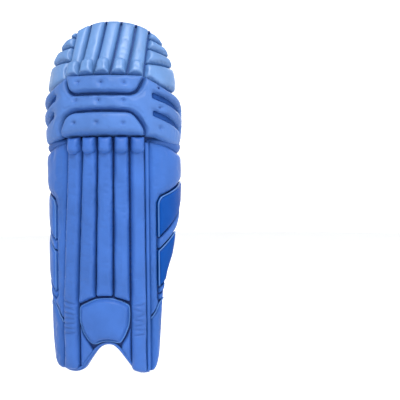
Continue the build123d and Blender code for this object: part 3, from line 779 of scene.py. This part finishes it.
def build_shin_base():
    """What lies behind the shin's bolsters: its base, dark as painted shade in the grooves, its lining and
    bindings.
    """
    top, inner, outer = SHIN_TOP - 0.2, -93.0, 78.6
    outline = [(-80.2, top), (inner, 140), (inner, 8), *ARCH[1:13], (outer, 3), (outer, top)]
    section_panel("shin", rounded(outline, 3), "shin", "shin_foam_core", "shin_lining", (-62, -31, 0, 31, 62))
    edge = [(-92.5, 9.5), (-86, 7.5), (-69, 7), *ARCH[3:12], (66, 2.8), (78, 3.6)]
    finish_piece(binding("shin_foot_binding", edge, -5.5, 8.0, 3.0), "shin")
    welt = [(-88, 11.5), (-69, 10), (-55, 16), (-42.5, 33.5), (-27.5, 53), (-15.5, 62.8), (-3, 66), (9.5, 64),
            (22, 51.5), (36, 30.5), (52, 9.5), (66, 4.6), (77, 5.5)]
    finish_piece(tube("shin_foot_welt", line_on(welt, 3.4), 2.1, LEATHER_EDGE), "shin")


# ---- wings --------------------------------------------------------------------------------------
TOP_STEPS = (170, 150, 130, 110, 95)        # where a wing's upper edge is given, from the rear


def wing_top(u):
    """Height of a wing's upper edge, which falls towards the rear to leave room for the knee's flex."""
    return np.interp(np.abs(u), [79, 88, 104, 128, 150, 178, 194],
                     [463.5, 462.5, 459.5, 453.5, 447.5, 446, 444])


def rear_at(rear, z):
    """Distance round to the rear end of a wing's padding at height z."""
    return abs(along(rear, z)) - 2.2


def band_outline(side, rear, start, low, high, chamfer):
    """A panel from the strip back to the wing's rear edge, between two lines that climb rearwards."""
    def meet(line):
        for u in np.arange(start, 205, 0.5):
            if u > rear_at(rear, line(u)):
                return u
        return 200.0

    edge = [(rear_at(rear, z), z) for z in np.linspace(low(meet(low)), high(meet(high)), 7)]
    nose = [(start, high(start) - chamfer * 1.5)]
    if chamfer:
        nose.insert(0, (start + chamfer, high(start + chamfer)))
    return [(side * u, z) for u, z in [(start, low(start)), *edge, *nose]]


def climbing(height, start, slope=0.82):
    """A line that climbs rearwards from a height at the strip's edge."""
    return lambda u: height + slope * (u - start)


def build_wing_strip(name, side, rear, seam, strip, top_z, ankle, bulge):
    """The wing's main pad: an upright strip beside the seam that spreads over the top of the wing."""
    shoulder = climbing(top_z + 4, strip, 0.385)
    far = 205.0
    while far > rear_at(rear, shoulder(far)):
        far -= 1.0
    end = rear_at(rear, 440)
    main = [(side * (abs(along(seam, z)) + 0.5), z) for z in (462.5, 300.0, 140.0)]
    main += [(side * (abs(seam[-1][0]) + 0.8), ankle[-1][1] + 2.5)]
    main += [(side * abs(u), z + 1.8) for u, z in ankle[::-1][1:-1]]
    main += [(side * u, z) for u, z in ((strip, ankle[0][1] + 2), (strip, top_z - 8), (strip + 7, top_z + 6),
                                        (far, shoulder(far)))]
    top_z = float(wing_top(end)) - 1.5
    main += [(side * rear_at(rear, z), z) for z in np.linspace(shoulder(far) + 8, top_z, 4)]
    main += [(side * u, float(wing_top(u)) - 0.8) for u in TOP_STEPS]

    def strip_top(u, z, d):
        a = np.abs(u)
        n = pillow(1.2, 9.0, 6.5, 22.0, 2.2)(u, z, d)
        tucked = np.clip((wing_top(u) - z) / 10.0, 0, 1) * np.clip((end - a) / 8, 0, 1)
        full = np.maximum(n, 7.6 * np.clip(d / 1.5, 0.25, 1) * (1 - tucked))
        n = np.where((z > 430) & (d < 8), full, n)
        swell = np.clip((a - 118) / 35, 0, 1) * np.clip(d / 9, 0, 1) * np.clip((z - 330) / 60, 0, 1)
        return n + bulge * swell

    piece = pad(f"{name}_strip_pad", rounded(main, 4), strip_top, 0.4, LEATHER_WING, step=3.2)
    finish_piece(piece, name, [f"{name}_main_pad"], 0.02)


def build_wing_panels(name, side, rear, start, heights, material):
    """The raised panels and bars behind the strip.  heights: top of the calf panel, then the joints
    below it, down to the last bar's foot."""
    top_z, calf_low, bar_low, panel_low, bar2_low, facet_low = heights

    def line(height, slope=0.82):
        return climbing(height, start, slope)

    for part, low, high, chamfer, crown, node in (
            ("calf", line(calf_low), line(top_z + 1.5, 0.385), 6.0, 12.5, "calf_panel"),
            ("upper_bar", line(bar_low + 2.0), line(calf_low - 2.6), 0, 10.5, "bars"),
            ("side", line(panel_low + 2.0), line(bar_low - 1.0), 0, 12.5, "shin_panel"),
            ("lower_bar", line(bar2_low + 1.6), line(panel_low - 1.0), 0, 10.5, None),
            ("facet", line(facet_low), line(bar2_low - 1.4), 0, 9.5, None)):
        outline = band_outline(side, rear, start, low, high, chamfer)
        raised = part in ("calf", "side")
        shape = pillow(1.0, crown, *((5.0, 20.0) if raised else (4.0, 6.0)), 1.4)
        piece = pad(f"{name}_{part}_pad", rounded(outline, 4), shape, 0.4,
                    material if raised else LEATHER_WING)
        finish_piece(piece, name, [f"{name}_{node}"] if node else [])
        if raised:
            # A welt of lighter leather along the panel's front and top edges, as a painted highlight.
            far = max(abs(p[0]) for p in outline if abs(p[1] - high(abs(p[0]))) < 2.5) - 3.0
            edge = [(start, low(start) + 2), (start, high(start) - chamfer * 1.5),
                    (start + chamfer, high(start + chamfer)), (far, high(far))]
            welt = line_on([(side * u, z) for u, z in edge], 8.6, 2.0)
            finish_piece(tube(f"{name}_{part}_welt", welt, 1.5, LEATHER_PAINTED_HIGHLIGHT), name)


def build_wing(name, side, rear, seam, strip, heights, ankle, foot, material, bulge):
    """One wing.  strip is where its raised panels begin; ankle is the ankle pad's upper edge and foot
    its lower one; bulge is how far the wing's top swells."""
    build_wing_strip(name, side, rear, seam, strip, heights[0], ankle, bulge)
    build_wing_panels(name, side, rear, strip + 2.2, heights, material)

    toe = [(side * abs(u), z) for u, z in foot] + [(side * abs(u), z - 1.6) for u, z in ankle]
    piece = pad(f"{name}_ankle", rounded(toe, 6), pillow(1.2, 9.5, 7.0, 18.0, 2.0), 0.4, LEATHER_WING)
    finish_piece(piece, name, [f"{name}_ankle_pad"], 0.02)
    # A lighter welt along the ankle pad's upper edge, as a painted highlight.
    edge = [(side * (abs(u) - 0.5), z - 0.6) for u, z in ankle]
    finish_piece(tube(f"{name}_ankle_highlight_welt", line_on(edge, 6.6, 2.0), 1.3, LEATHER_PAINTED_HIGHLIGHT), name)

    outline = [(side * (abs(along(seam, z)) + 1.4), z) for z in (463.0, 140.0)]
    outline += [(side * (abs(seam[-1][0]) + 1.4), foot[0][1] + 0.5)]
    outline += [(side * (abs(u) - 0.6), z) for u, z in rear[::-1]]
    outline += [(side * u, float(wing_top(u))) for u in TOP_STEPS]
    section_panel(name, rounded(outline, 3), name, f"{name}_foam_core", f"{name}_lining",
                  [side * q for q in (112, 138, 164)])
    line = [(side * u, float(wing_top(u)) - sunk)
            for u, sunk in ((84, 1.5), (110, 1.0), (140, 1.0), (165, 1.0))]
    line += [(side * (abs(u) - 1.2), z) for u, z in rear]
    line += [(side * (abs(foot[0][0]) + 0.5), foot[0][1] + 1.5)]
    finish_piece(binding(f"{name}_binding", line, -5.6, 7.6, 2.6, radius=10), name)


def build_wings():
    """Both wings."""
    # The outer wing's raised panels are in the darker leather, painted shade for their side turned from the
    # light; the inner wing's are in the wing leather.
    build_wing("outer_wing", 1, OUTER_REAR, OUTER_SEAM, 95.0, (347, 269, 243, 168, 154, 142),
               ankle=[(107.5, 149), (97, 136.5), (91.5, 122.5), (81.2, 109.5)],
               foot=[(81.2, 3.2), (87, 5.0), (93.0, 13.5), (97.8, 36), (103.2, 101), (106.5, 138)],
               material=LEATHER_PANEL_SHADED, bulge=2.5)
    build_wing("inner_wing", -1, INNER_REAR, INNER_SEAM, 114.0, (344, 266, 241, 160, 144, 129),
               ankle=[(-148.5, 152), (-127.5, 139), (-114, 128), (-106, 115), (-95.6, 103)],
               foot=[(-95.6, 9.4), (-113, 9.4), (-127, 26), (-136.5, 71), (-146, 122)],
               material=LEATHER_WING, bulge=4.5)


# ---- knee ---------------------------------------------------------------------------------------
TUFTS = [(-46, 574), (-6.5, 573.5), (32, 572.5), (-53, 540), (-12, 539.5), (30.5, 539), (-54, 495),
         (-14, 494.5), (30, 493), (95, 567.5), (97, 528), (96.5, 488)]
KNEE_REAR = 181.0
PANEL_TUFTS = (0, 1, 2, 6, 7, 8)        # the tufts that are in the raised panels
PANEL_DIMPLE = 25.4                     # n of the bottom of a dimple in a raised panel
BAND_DIMPLE = 5.6                       # how deep a button lies in the band


def band_n(u):
    """The knee roll's height, which falls away round the sides."""
    return np.interp(np.abs(u), [SEAM_U, STRAIGHT_U], [26.0, 14.5])


def band_base(u, z):
    """The underside of the knee roll's band, which steps out over the wings along its lower edge."""
    return 2.4 + 7.6 * np.clip((474.0 - z) / 8.0, 0, 1)


def dimpled(u, z, n):
    """Height n with a dimple pressed in at each tuft."""
    for tuft_u, tuft_z in TUFTS:
        away = np.sqrt((u - tuft_u) ** 2 + (z - tuft_z) ** 2)
        n = n - 5.4 * np.exp(-(away / 3.6) ** 2) - 1.0 * np.exp(-(away / 8.0) ** 2)
    return n


def slot_outline(points, height):
    """A slot along a line of (u, z) points."""
    upper = [(u, z + height / 2) for u, z in points]
    return upper + [(u, z - height / 2) for u, z in points[::-1]]


SLOTS = [slot_outline(line, 10.0) for line in (
    [(84, 551.5), (120, 541), (163, 528)], [(85, 516.5), (120, 506), (163, 493)],
    [(-97, 551), (-118, 540), (-160, 527)], [(-102, 517), (-120, 507), (-160, 493)])]


# the knee roll's raised panels and band, as (u, z, corner radius)
KNEE_PANELS = (
    ("upper", [(-72, 588.6, 2), (68.4, 588.6, 2), (53.5, 559, 9), (44, 554, 6), (-59, 554.5, 9),
               (-66.5, 563, 8)]),
    ("lower", [(-84.6, 470.6, 2), (-83.4, 480, 6), (-74, 506, 9), (-60, 515.5, 9), (-3, 517.5, 30),
               (44, 515, 9), (55.5, 502.5, 9), (66.2, 484, 6), (67.8, 471, 2)]))
KNEE_BAND = [
    (-KNEE_REAR, 548, 4), (-150, 558, 6), (-106, 569.5, 9), (-84, 582, 6), (-75, 588, 2), (-69.8, 562, 8),
    (-61, 551.2, 9), (45, 550.6, 8), (56.8, 557.5, 8), (72, 588, 2), (79, 584, 6), (108, 569.5, 9),
    (150, 558, 6), (KNEE_REAR, 548, 4), (KNEE_REAR + 1.5, 505, 20), (KNEE_REAR, 466, 6), (150, 460, 9),
    (128, 460.3, 6), (104, 464.6, 6), (86, 469.8, 4), (70.8, 471, 2), (69.3, 484, 6), (58.5, 504, 9),
    (46, 518.6, 9), (-3, 521, 30), (-62, 519, 9), (-77.6, 507.5, 9), (-86.6, 480, 6), (-87.5, 469.8, 2),
    (-104, 466, 6), (-128, 463, 6), (-150, 462.5, 9), (-KNEE_REAR, 470, 12), (-KNEE_REAR - 1.5, 505, 20)]
KNEE_GROOVES = (
    ("upper", [(-73.5, 588), (-68, 563), (-60, 552.8), (45, 552.2), (55.5, 558), (70, 588)]),
    ("lower", [(-86.0, 473), (-85, 480), (-76, 507), (-61, 517.3), (-3, 519.3), (45, 516.8), (57, 503.5),
               (67.8, 484), (69.4, 473)]))
KNEE_BASE = [
    (-KNEE_REAR, 547, 4), (-150, 557.5), (-106, 568), (-79, 583), (-60, 587), (-18, 588.5), (27, 588.5),
    (60, 587), (79, 583), (108, 568), (150, 557.5), (KNEE_REAR, 547, 4), (KNEE_REAR, 467, 4), (150, 462),
    (128, 464.5), (70, 467), (27, 468.4), (-18, 468.4), (-60, 467), (-128, 464.5), (-150, 462),
    (-KNEE_REAR, 467, 4)]


def band_top(u, z, d):
    """The knee roll's band, fullest along its middle."""
    high = band_n(u) - 3.5 + 4.5 * np.clip(1 - ((z - 524.0) / 62.0) ** 2, 0, 1)
    low = np.maximum(high * 0.42, band_base(u, z) + 1.0)
    return dimpled(u, z, low + (high - low) * round_edge(d, 7.0))


def knee_panel_top(u, z, d):
    """The knee roll's raised panels, which turn under at the roll's lower edge."""
    underside = 9.0 * np.clip((485.0 - z) / 15.0, 0, 1) ** 2
    return dimpled(u, z, 15.0 + 15.5 * round_edge(d, 7.0) + 1.2 * (1 - np.exp(-d / 16.0)) - underside)


def build_knee():
    """The knee roll: its base, band, raised panels, tufts and bindings."""
    piece = pad("knee_roll_pad", rounded(KNEE_BAND, 5), band_top, band_base, LEATHER_KNEE, step=2.5,
                holes=[rounded(s, 2) for s in SLOTS])
    finish_piece(piece, "knee_roll", ["knee_roll_band"], 0.018)
    for name, outline in KNEE_PANELS:
        piece = pad(f"knee_{name}_pad", rounded(outline, 6), knee_panel_top, 2.6, LEATHER_KNEE, step=2.4)
        finish_piece(piece, "knee_roll", [f"knee_roll_{name}_panel"], 0.015)
    # A dark tube lies along each groove round the raised panels, as painted shade in the groove.
    for name, path in KNEE_GROOVES:
        piece = tube(f"knee_{name}_groove", line_on(path, 9.0), 4.4, LEATHER_PAINTED_GROOVE_SHADE)
        finish_piece(piece, "knee_roll")
    for k, slot in enumerate(SLOTS):
        grown = [(u + (1.6 if abs(u) > 130 else -1.6) * np.sign(u), z + (1.6 if i < 3 else -1.6))
                 for i, (u, z) in enumerate(slot)]
        floor = pad(f"knee_slot_{k + 1}", rounded(grown, 2), lambda u, z, d: band_n(u) - 8.0,
                    lambda u, z: band_n(u) - 9.4, SLOT_MESH, step=4.0, rings=())
        finish_piece(floor, "knee_roll")
    buttons = [button(u, z, PANEL_DIMPLE if k in PANEL_TUFTS else float(band_n(u)) - BAND_DIMPLE)
               for k, (u, z) in enumerate(TUFTS)]
    finish_piece(joined(buttons, "knee_tuft_buttons"), "knee_roll", ["knee_roll_tufts"])

    section_panel("knee", rounded(KNEE_BASE, 3), "knee_roll", "knee_foam_core", "knee_lining",
                  (-132, -100, -68, 68, 100, 132))
    for name, side in SIDES:
        line = [(120, 564.5), (150, 556.5), (KNEE_REAR - 2, 546.5), (KNEE_REAR, 540), (KNEE_REAR, 474),
                (KNEE_REAR - 3, 467.5), (150, 463), (124, 465.5)]
        tape = binding(f"knee_{name}_binding", [(side * u, z) for u, z in line], -5.4, 7.4, 2.6)
        finish_piece(tape, "knee_roll")


# ---- gussets, which bridge the flexing joints ----------------------------------------------------
def knee_foot(u):
    """Height of the knee section's lower edge."""
    return np.interp(np.abs(u), [60, 70, 128, 150, 180], [467.8, 467, 464.5, 462, 467.5])


def gusset_strip(name, lower, upper, swell, ends, place=surface):
    """Soft folded cloth between two sections.  lower(u) and upper(u) are its edges."""
    across = np.linspace(ends[0], ends[1], 60)
    outline = [(u, float(lower(u))) for u in across] + [(u, float(upper(u))) for u in across[::-1]]

    def top(u, z, d):
        share = np.clip((z - lower(u)) / np.maximum(upper(u) - lower(u), 1), 0, 1)
        return -2.6 + swell(u) * np.sin(math.pi * share) ** 0.5

    piece = pad(name, outline, top, -7.6, LEATHER_FOLD, step=3.2, rings=(1.0,), place=place)
    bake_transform(piece)


def build_gussets():
    """The soft strips of fabric that join the sections where they flex."""
    def shin_edge(u):
        return np.where(np.abs(u) < 79, SHIN_TOP - 4.0, np.minimum(wing_top(u) - 5.0, 451.0))

    def side_swell(u):
        return np.interp(np.abs(u), [80, 92, 130, 150, 172, 182], [2.0, 9.0, 13.5, 15.5, 15.5, 8.0])

    def knee_edge(u):
        return knee_foot(u) + 3.0 + 5.0 * np.clip((np.abs(u) - 85.0) / 20.0, 0, 1)

    gusset_strip("knee_gusset", shin_edge, knee_edge,
                 side_swell, (-179, 182))
    gusset_strip("flap_gusset", lambda u: upright(knee_top(u) - 3.5, u, -5.0),
                 lambda u: flap_foot(u, -5.0) + 5.0,
                 lambda u: np.interp(np.abs(u), [70, 90], [2.0, 5.0]), (-146, 146), leaned)
    for (name, side), seam in zip(SIDES, (INNER_SEAM, OUTER_SEAM)):
        heights = (464.0, 300.0, 140.0, 9.0 if side < 0 else 4.5)
        outline = [(along(seam, z) - side * 4.0, z) for z in heights]
        outline += [(along(seam, z) + side * 2.6, z) for z in heights[::-1]]
        piece = pad(f"{name}_seam_gusset", outline, 3.2, 0.6, LEATHER_FOLD, step=4.0, rings=())
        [surface(along(seam, 300) + side * reach, 0, 3.0) * 0.001
                                                  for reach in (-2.0, 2.0)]
        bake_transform(piece)


# ---- top flap -----------------------------------------------------------------------------------
FLAP_LOW = 590.0


def groove(k, z):
    """Where groove k of the top flap is at height z."""
    return between(FLAP_LOWS[k], FLAP_TOPS[k], FLAP_ROW, z)


def flap_low(k):
    """The upright height of the lower edge of the flap's bolsters near groove k."""
    return float(flap_foot(np.interp(k, range(6), FLAP_LOWS), 7.0))


def dome_z(u):
    """Height of the top flap's edge."""
    line = [p for p in FLAP_DOME if p[1] > 600]
    return float(np.interp(u, [p[0] for p in line], [p[1] for p in line]))


def dome_u(side, z):
    """Distance round to the top flap's edge at height z."""
    line = sorted((p[1], abs(p[0])) for p in FLAP_DOME if side * p[0] > 0)
    return float(np.interp(z, [p[0] for p in line], [p[1] for p in line]))


def build_flap_bolsters():
    """The flap's five bolsters, their puffed feet, and the tufts at the grooves' tops."""
    for i in range(5):
        left = [(groove(i, z) + 1.2, z) for z in (flap_low(i), 650)]
        right = [(groove(i + 1, z) - 1.2, z) for z in (flap_low(i + 1), 650)]
        crest = [(u, dome_z(u) - 3.0) for u in np.linspace(groove(i + 1, 700) - 1.4, groove(i, 700) + 1.4, 5)]
        outline = [left[0], right[0], right[1], *crest, left[1]]
        piece = pad(f"flap_bolster_{i + 1}", rounded(outline, 4), pillow(1.6, 12.5, 6.5, 14.0, 2.2), 0.4,
                    LEATHER_FLAP_LIT, place=tilted)
        nodes = [f"flap_bolster_{i + 1}_cover"] + (["flap_bolster_foam"] if i == 0 else [])
        finish_piece(piece, "top_flap", nodes, 0.004)
        mid, foot = (groove(i, 598) + groove(i + 1, 598)) / 2, flap_low(i + 0.5)
        cap = [(mid - 14.2, foot, 3), (mid + 13.4, foot, 3), (mid + 13.4, 604, 5), (mid + 13.0, 620, 14),
               (mid - 8.0, 620, 14), (mid - 11.6, 604, 5)]
        puff = pad(f"flap_puff_{i + 1}", rounded(cap, 11), pillow(8.0, 19.5, 8.0, 13.0, 3.0), 7.0,
                   LEATHER_FLAP_LIT, step=2.0, rings=PUFF_RINGS, place=tilted)
        finish_piece(puff, "top_flap", ["flap_bolster_puffs"] if i == 0 else [], 0.04)
    dots = [button(groove(k, 700), dome_z(groove(k, 700)) - 4.0, 4.0, tilted) for k in range(1, 6)]
    finish_piece(joined(dots, "flap_groove_ends"), "top_flap")


def flute_outline(side, k, low, high):
    """Flute k of one side, between two valleys given as heights at its groove and at the flap's edge."""
    last = 0 if side < 0 else 5
    near = [abs(groove(last, z)) + 1.0 for z in (low[0], high[0])]
    outline = [(side * near[0], low[0] + 0.9), (side * near[1], high[0] - 0.9)]
    swell, sunk = (3.2, 3.2) if side < 0 else (1.4, 1.6)
    for t in np.linspace(1, 0, 7):
        z = low[1] + 0.9 + (high[1] - low[1] - 1.8) * t
        outline.append((side * (dome_u(side, z) + swell * math.sin(math.pi * t) - sunk), z))
    if k == 0:
        spread = np.linspace(dome_u(side, low[1]) - 2.0, near[0], 8)
        outline = [*outline[1:-2], *((side * u, float(flap_foot(u, 4.0))) for u in spread)]
    if k == 3:
        outline = outline[:2] + [p for p in outline[2:] if abs(p[0]) > near[1] + 2]
    return outline


def build_flap():
    """The top flap: its base, bolsters, side flutes and bindings."""
    build_flap_bolsters()
    valleys = {"inner": [(FLAP_LOW, 599), (626, 638), (660, 662), (683, 685), (697, 698)],
               "outer": [(FLAP_LOW, 597), (619, 636), (655, 655), (680, 674), (697, 696)]}
    for name, side in SIDES:
        for k, (low, high) in enumerate(zip(valleys[name], valleys[name][1:])):
            piece = pad(f"flap_{name}_flute_{k + 1}", rounded(flute_outline(side, k, low, high), 4),
                        pillow(0.8, 11.5, 9.0, 16.0, 2.0), 0.4, LEATHER_FLAP_LIT, place=tilted,
                        rings=(0.5, 1.3, 2.6, 4.4, 6.6))
            nodes = [f"flap_{name}_flutes"] if k == 0 else []
            finish_piece(piece, "top_flap", nodes, 0.03)
    base = [(u * 0.992, z - 0.8) for u, z in FLAP_DOME if z > 600]
    base += [(u, float(flap_foot(u, -6.0))) for u in np.linspace(149, -149, 25)]
    # The flap's base is in the dark groove leather, painted shade where it shows between the bolsters.
    section_panel("flap", rounded(base, 6), "top_flap", "flap_foam_core", "flap_lining",
                  (-90, -55, -20, 20, 55, 90), LEATHER_PAINTED_GROOVE_SHADE, tilted)
    rim = [(u * 0.985, z - 1.4) for u, z in FLAP_DOME if z > 600]
    rim = [(-148, float(flap_foot(148, -5)) + 2.5), *rim, (148, float(flap_foot(148, -5)) + 2.5)]
    tape = binding("flap_binding", rim, -5.2, 7.4, 2.8, place=tilted, radius=14)
    finish_piece(tape, "top_flap")


# ---- inside cushions ----------------------------------------------------------------------------
LINING_FACE = -12.4             # n of the quilted lining's inner face


def inner_pad(name, outline, thick, body, nodes):
    """A cushion sewn to the inside of the lining."""
    def top(u, z, d):
        return LINING_FACE - 1.0 - (thick - 1.0) * round_edge(d, thick * 0.9)

    piece = pad(name, rounded(outline, 6), top, LINING_FACE, CUSHION)
    face_outward(piece)
    finish_piece(piece, body, nodes)


def build_inside():
    """The cushions on the pad's inside, at the knee and along the shin."""
    for k, (z0, z1) in enumerate(((562, 580), (474, 492))):
        inner_pad(f"knee_cup_roll_{k + 1}", oblong(-66, z0, 66, z1), 12.5, "knee_roll",
                  ["knee_cup_cushions"] if k == 0 else [])
    inner_pad("knee_cup_pad", oblong(-48, 496, 48, 558), 6.0, "knee_roll", [])
    for name, side in SIDES:
        inner_pad(f"shin_comfort_roll_{name}", oblong(side * 58.5, 171, side * 73.5, 439), 15.0, "shin",
                  ["shin_comfort_rolls"] if side < 0 else [])


# ---- straps -------------------------------------------------------------------------------------
LINING_N = -9.0 - GAP - 2.6 - GAP
STRAP_THICK = 3.0
# each strap: name, height, width, y of its far side, bend radius and length of the hook tab
STRAPS = (("knee_strap", 384.0, 45.0, 84.0, 46.0, 38.0), ("calf_strap", 322.0, 50.0, 80.0, 46.0, 38.0),
          ("ankle_strap", 128.0, 38.0, 52.0, 42.0, 13.0))


def fillet_path(points, radii, arc=9):
    """A line through points with true arcs at its corners."""
    out = [np.array(points[0], float)]
    for before, here, after, radius in zip(points, points[1:], points[2:], radii):
        here = np.array(here, float)
        a, b = np.array(before, float) - here, np.array(after, float) - here
        a, b = a / np.linalg.norm(a), b / np.linalg.norm(b)
        half = math.acos(np.clip(np.dot(a, b), -1, 1)) / 2
        centre = here + (a + b) / np.linalg.norm(a + b) * radius / math.sin(half)
        first, last = here + a * radius / math.tan(half) - centre, here + b * radius / math.tan(half) - centre
        total = math.acos(np.clip(np.dot(first, last) / radius ** 2, -1, 1))
        for t in np.linspace(0, 1, arc):
            mix = (math.sin((1 - t) * total) * first + math.sin(t * total) * last) / math.sin(total)
            out.append(centre + mix)
    out.append(np.array(points[-1], float))
    return np.array(out)


def ribbon(name, path, low, width, thick):
    """A strap that stands along a path of (x, y) points, a little twisted, with softly rounded edges."""
    path = resampled(path, 3.0, closed=False)
    tangent = unit(np.gradient(path, axis=0))
    normal = np.stack([tangent[:, 1], -tangent[:, 0]], axis=1)
    across = np.linspace(-0.97, 0.97, 9)
    profile = [*((s, 1.0) for s in across), (1.0, 0.0), *((s, -1.0) for s in across[::-1]), (-1.0, 0.0)]
    verts = []
    for i, (point, out) in enumerate(zip(path, normal)):
        sway = 0.5 * math.sin(i * 0.23) * min(1.0, i / 10, (len(path) - 1 - i) / 14)
        for s, t in profile:
            spot = point + out * (t * thick / 2 + sway * s)
            verts.append((*spot, low + width / 2 + s * width / 2))
    obj = new_object(name, verts, ring_faces(len(path), len(profile)), WEBBING)
    face_outward(obj)
    return obj


def stitches(name, lines, n, body, size=0.55):
    """Rows of short raised stitches along lines of (u, z) points."""
    verts, faces, sides = [], [], 5
    for line in lines:
        flat = resampled(np.array(line, float), 3.6, closed=False)
        spots = surface(flat[:, 0], flat[:, 1], n)
        for a, b in zip(spots, spots[1:]):
            a, b = a + (b - a) * 0.14, b - (b - a) * 0.14
            run = (b - a) / np.linalg.norm(b - a)
            up = np.cross(run, [0.2, 0.9, 0.4])
            up /= np.linalg.norm(up)
            side = np.cross(run, up)
            faces += ring_faces(4, sides, start=len(verts))
            for t, r in ((0, 0.3), (0.25, 1.0), (0.75, 1.0), (1, 0.3)):
                verts += [a + (b - a) * t + (up * c + side * s) * size * r for c, s in around(sides)]
    finish_piece(new_object(name, verts, faces, THREAD), body)


def flat_piece(name, outline, radius, n0, n1, material):
    """A thin flat piece of one thickness."""
    return pad(name, rounded(outline, radius), n0, n1, material, step=4.0, rings=())


def build_straps():
    """Each strap with its hook tab, and its loop patch and anchor on the wings."""
    for name, z, width, back_y, radius, length in STRAPS:
        low, high = z - width / 2, z + width / 2
        inner = -max(abs(along(INNER_REAR, h)) for h in (low, z, high))
        outer = min(along(OUTER_REAR, h) for h in (low, z, high))
        n_strap = LINING_N - 2.6 - STRAP_THICK / 2
        hinge = surface(inner - 6.0, 0, LINING_N - STRAP_THICK / 2)[:2]
        t0, t1 = outer - 6.0 - length, outer - 6.0
        start, ahead = surface(t1, 0, n_strap)[:2], surface(t1 + 0.5, 0, n_strap)[:2]
        corner = start + (ahead - start) / np.linalg.norm(ahead - start) * 14
        loop = fillet_path([hinge, (hinge[0] - 1.0, back_y), (corner[0] - 1.0, back_y), corner, start],
                           (radius, radius, 12))
        tail = surface(np.linspace(t1, t0, 12)[1:], 0, n_strap)[:, :2]
        band = ribbon(f"{name}_band", np.vstack([loop, tail]), low, width, STRAP_THICK - 0.4)
        finish_piece(band, name, [f"{name}_webbing"])
        hook = flat_piece(f"{name}_hook", oblong(t0 + 2, low + 2, t1 - 2, high - 2), 4,
                          LINING_N - 1.3, LINING_N - 2.3, HOOKS)
        finish_piece(hook, name, [f"{name}_hook_tab"])
        first = name == "knee_strap"
        pile = flat_piece(f"{name}_loop_patch", oblong(t0 - 1, low - 2, t1 + 1, high + 2), 5,
                          LINING_N, LINING_N - 0.9, LOOP_PILE)
        finish_piece(pile, "outer_wing", ["outer_wing_loop_patches"] if first else [])
        anchor = flat_piece(f"{name}_anchor", oblong(inner - 5.8, low, inner + 34, high), 1,
                            LINING_N, LINING_N - 3.0, WEBBING)
        finish_piece(anchor, "inner_wing", ["inner_wing_strap_anchors"] if first else [])
        box = oblong(inner + 3, low + 4, inner + 30, high - 4)
        crossed = [[*box, box[0], box[2]], [box[1], box[3]]]
        stitches(f"{name}_anchor_stitches", crossed, LINING_N - 3.1, "inner_wing")
        box = oblong(t0 + 3.5, low + 3.5, t1 - 3.5, high - 3.5)
        stitches(f"{name}_tab_stitches", [[*box, box[0]]], n_strap - STRAP_THICK / 2 + 0.1, name)


def keep_sealed_pieces():
    """The pieces sealed inside the padding keep their CAD meshes, with finished materials."""
    sealed = {"shin_cane_slats": CANE, "shin_stiffener_sheet": SHEET, "knee_impact_sheet": SHEET}
    for node, material in sealed.items():
        for slot in frame["nodes"][node].material_slots:
            slot.material = material


build_stage()
build_shin_base()
build_shin()
build_instep()
build_wings()
build_knee()
build_flap()
build_gussets()
build_inside()
build_straps()
keep_sealed_pieces()
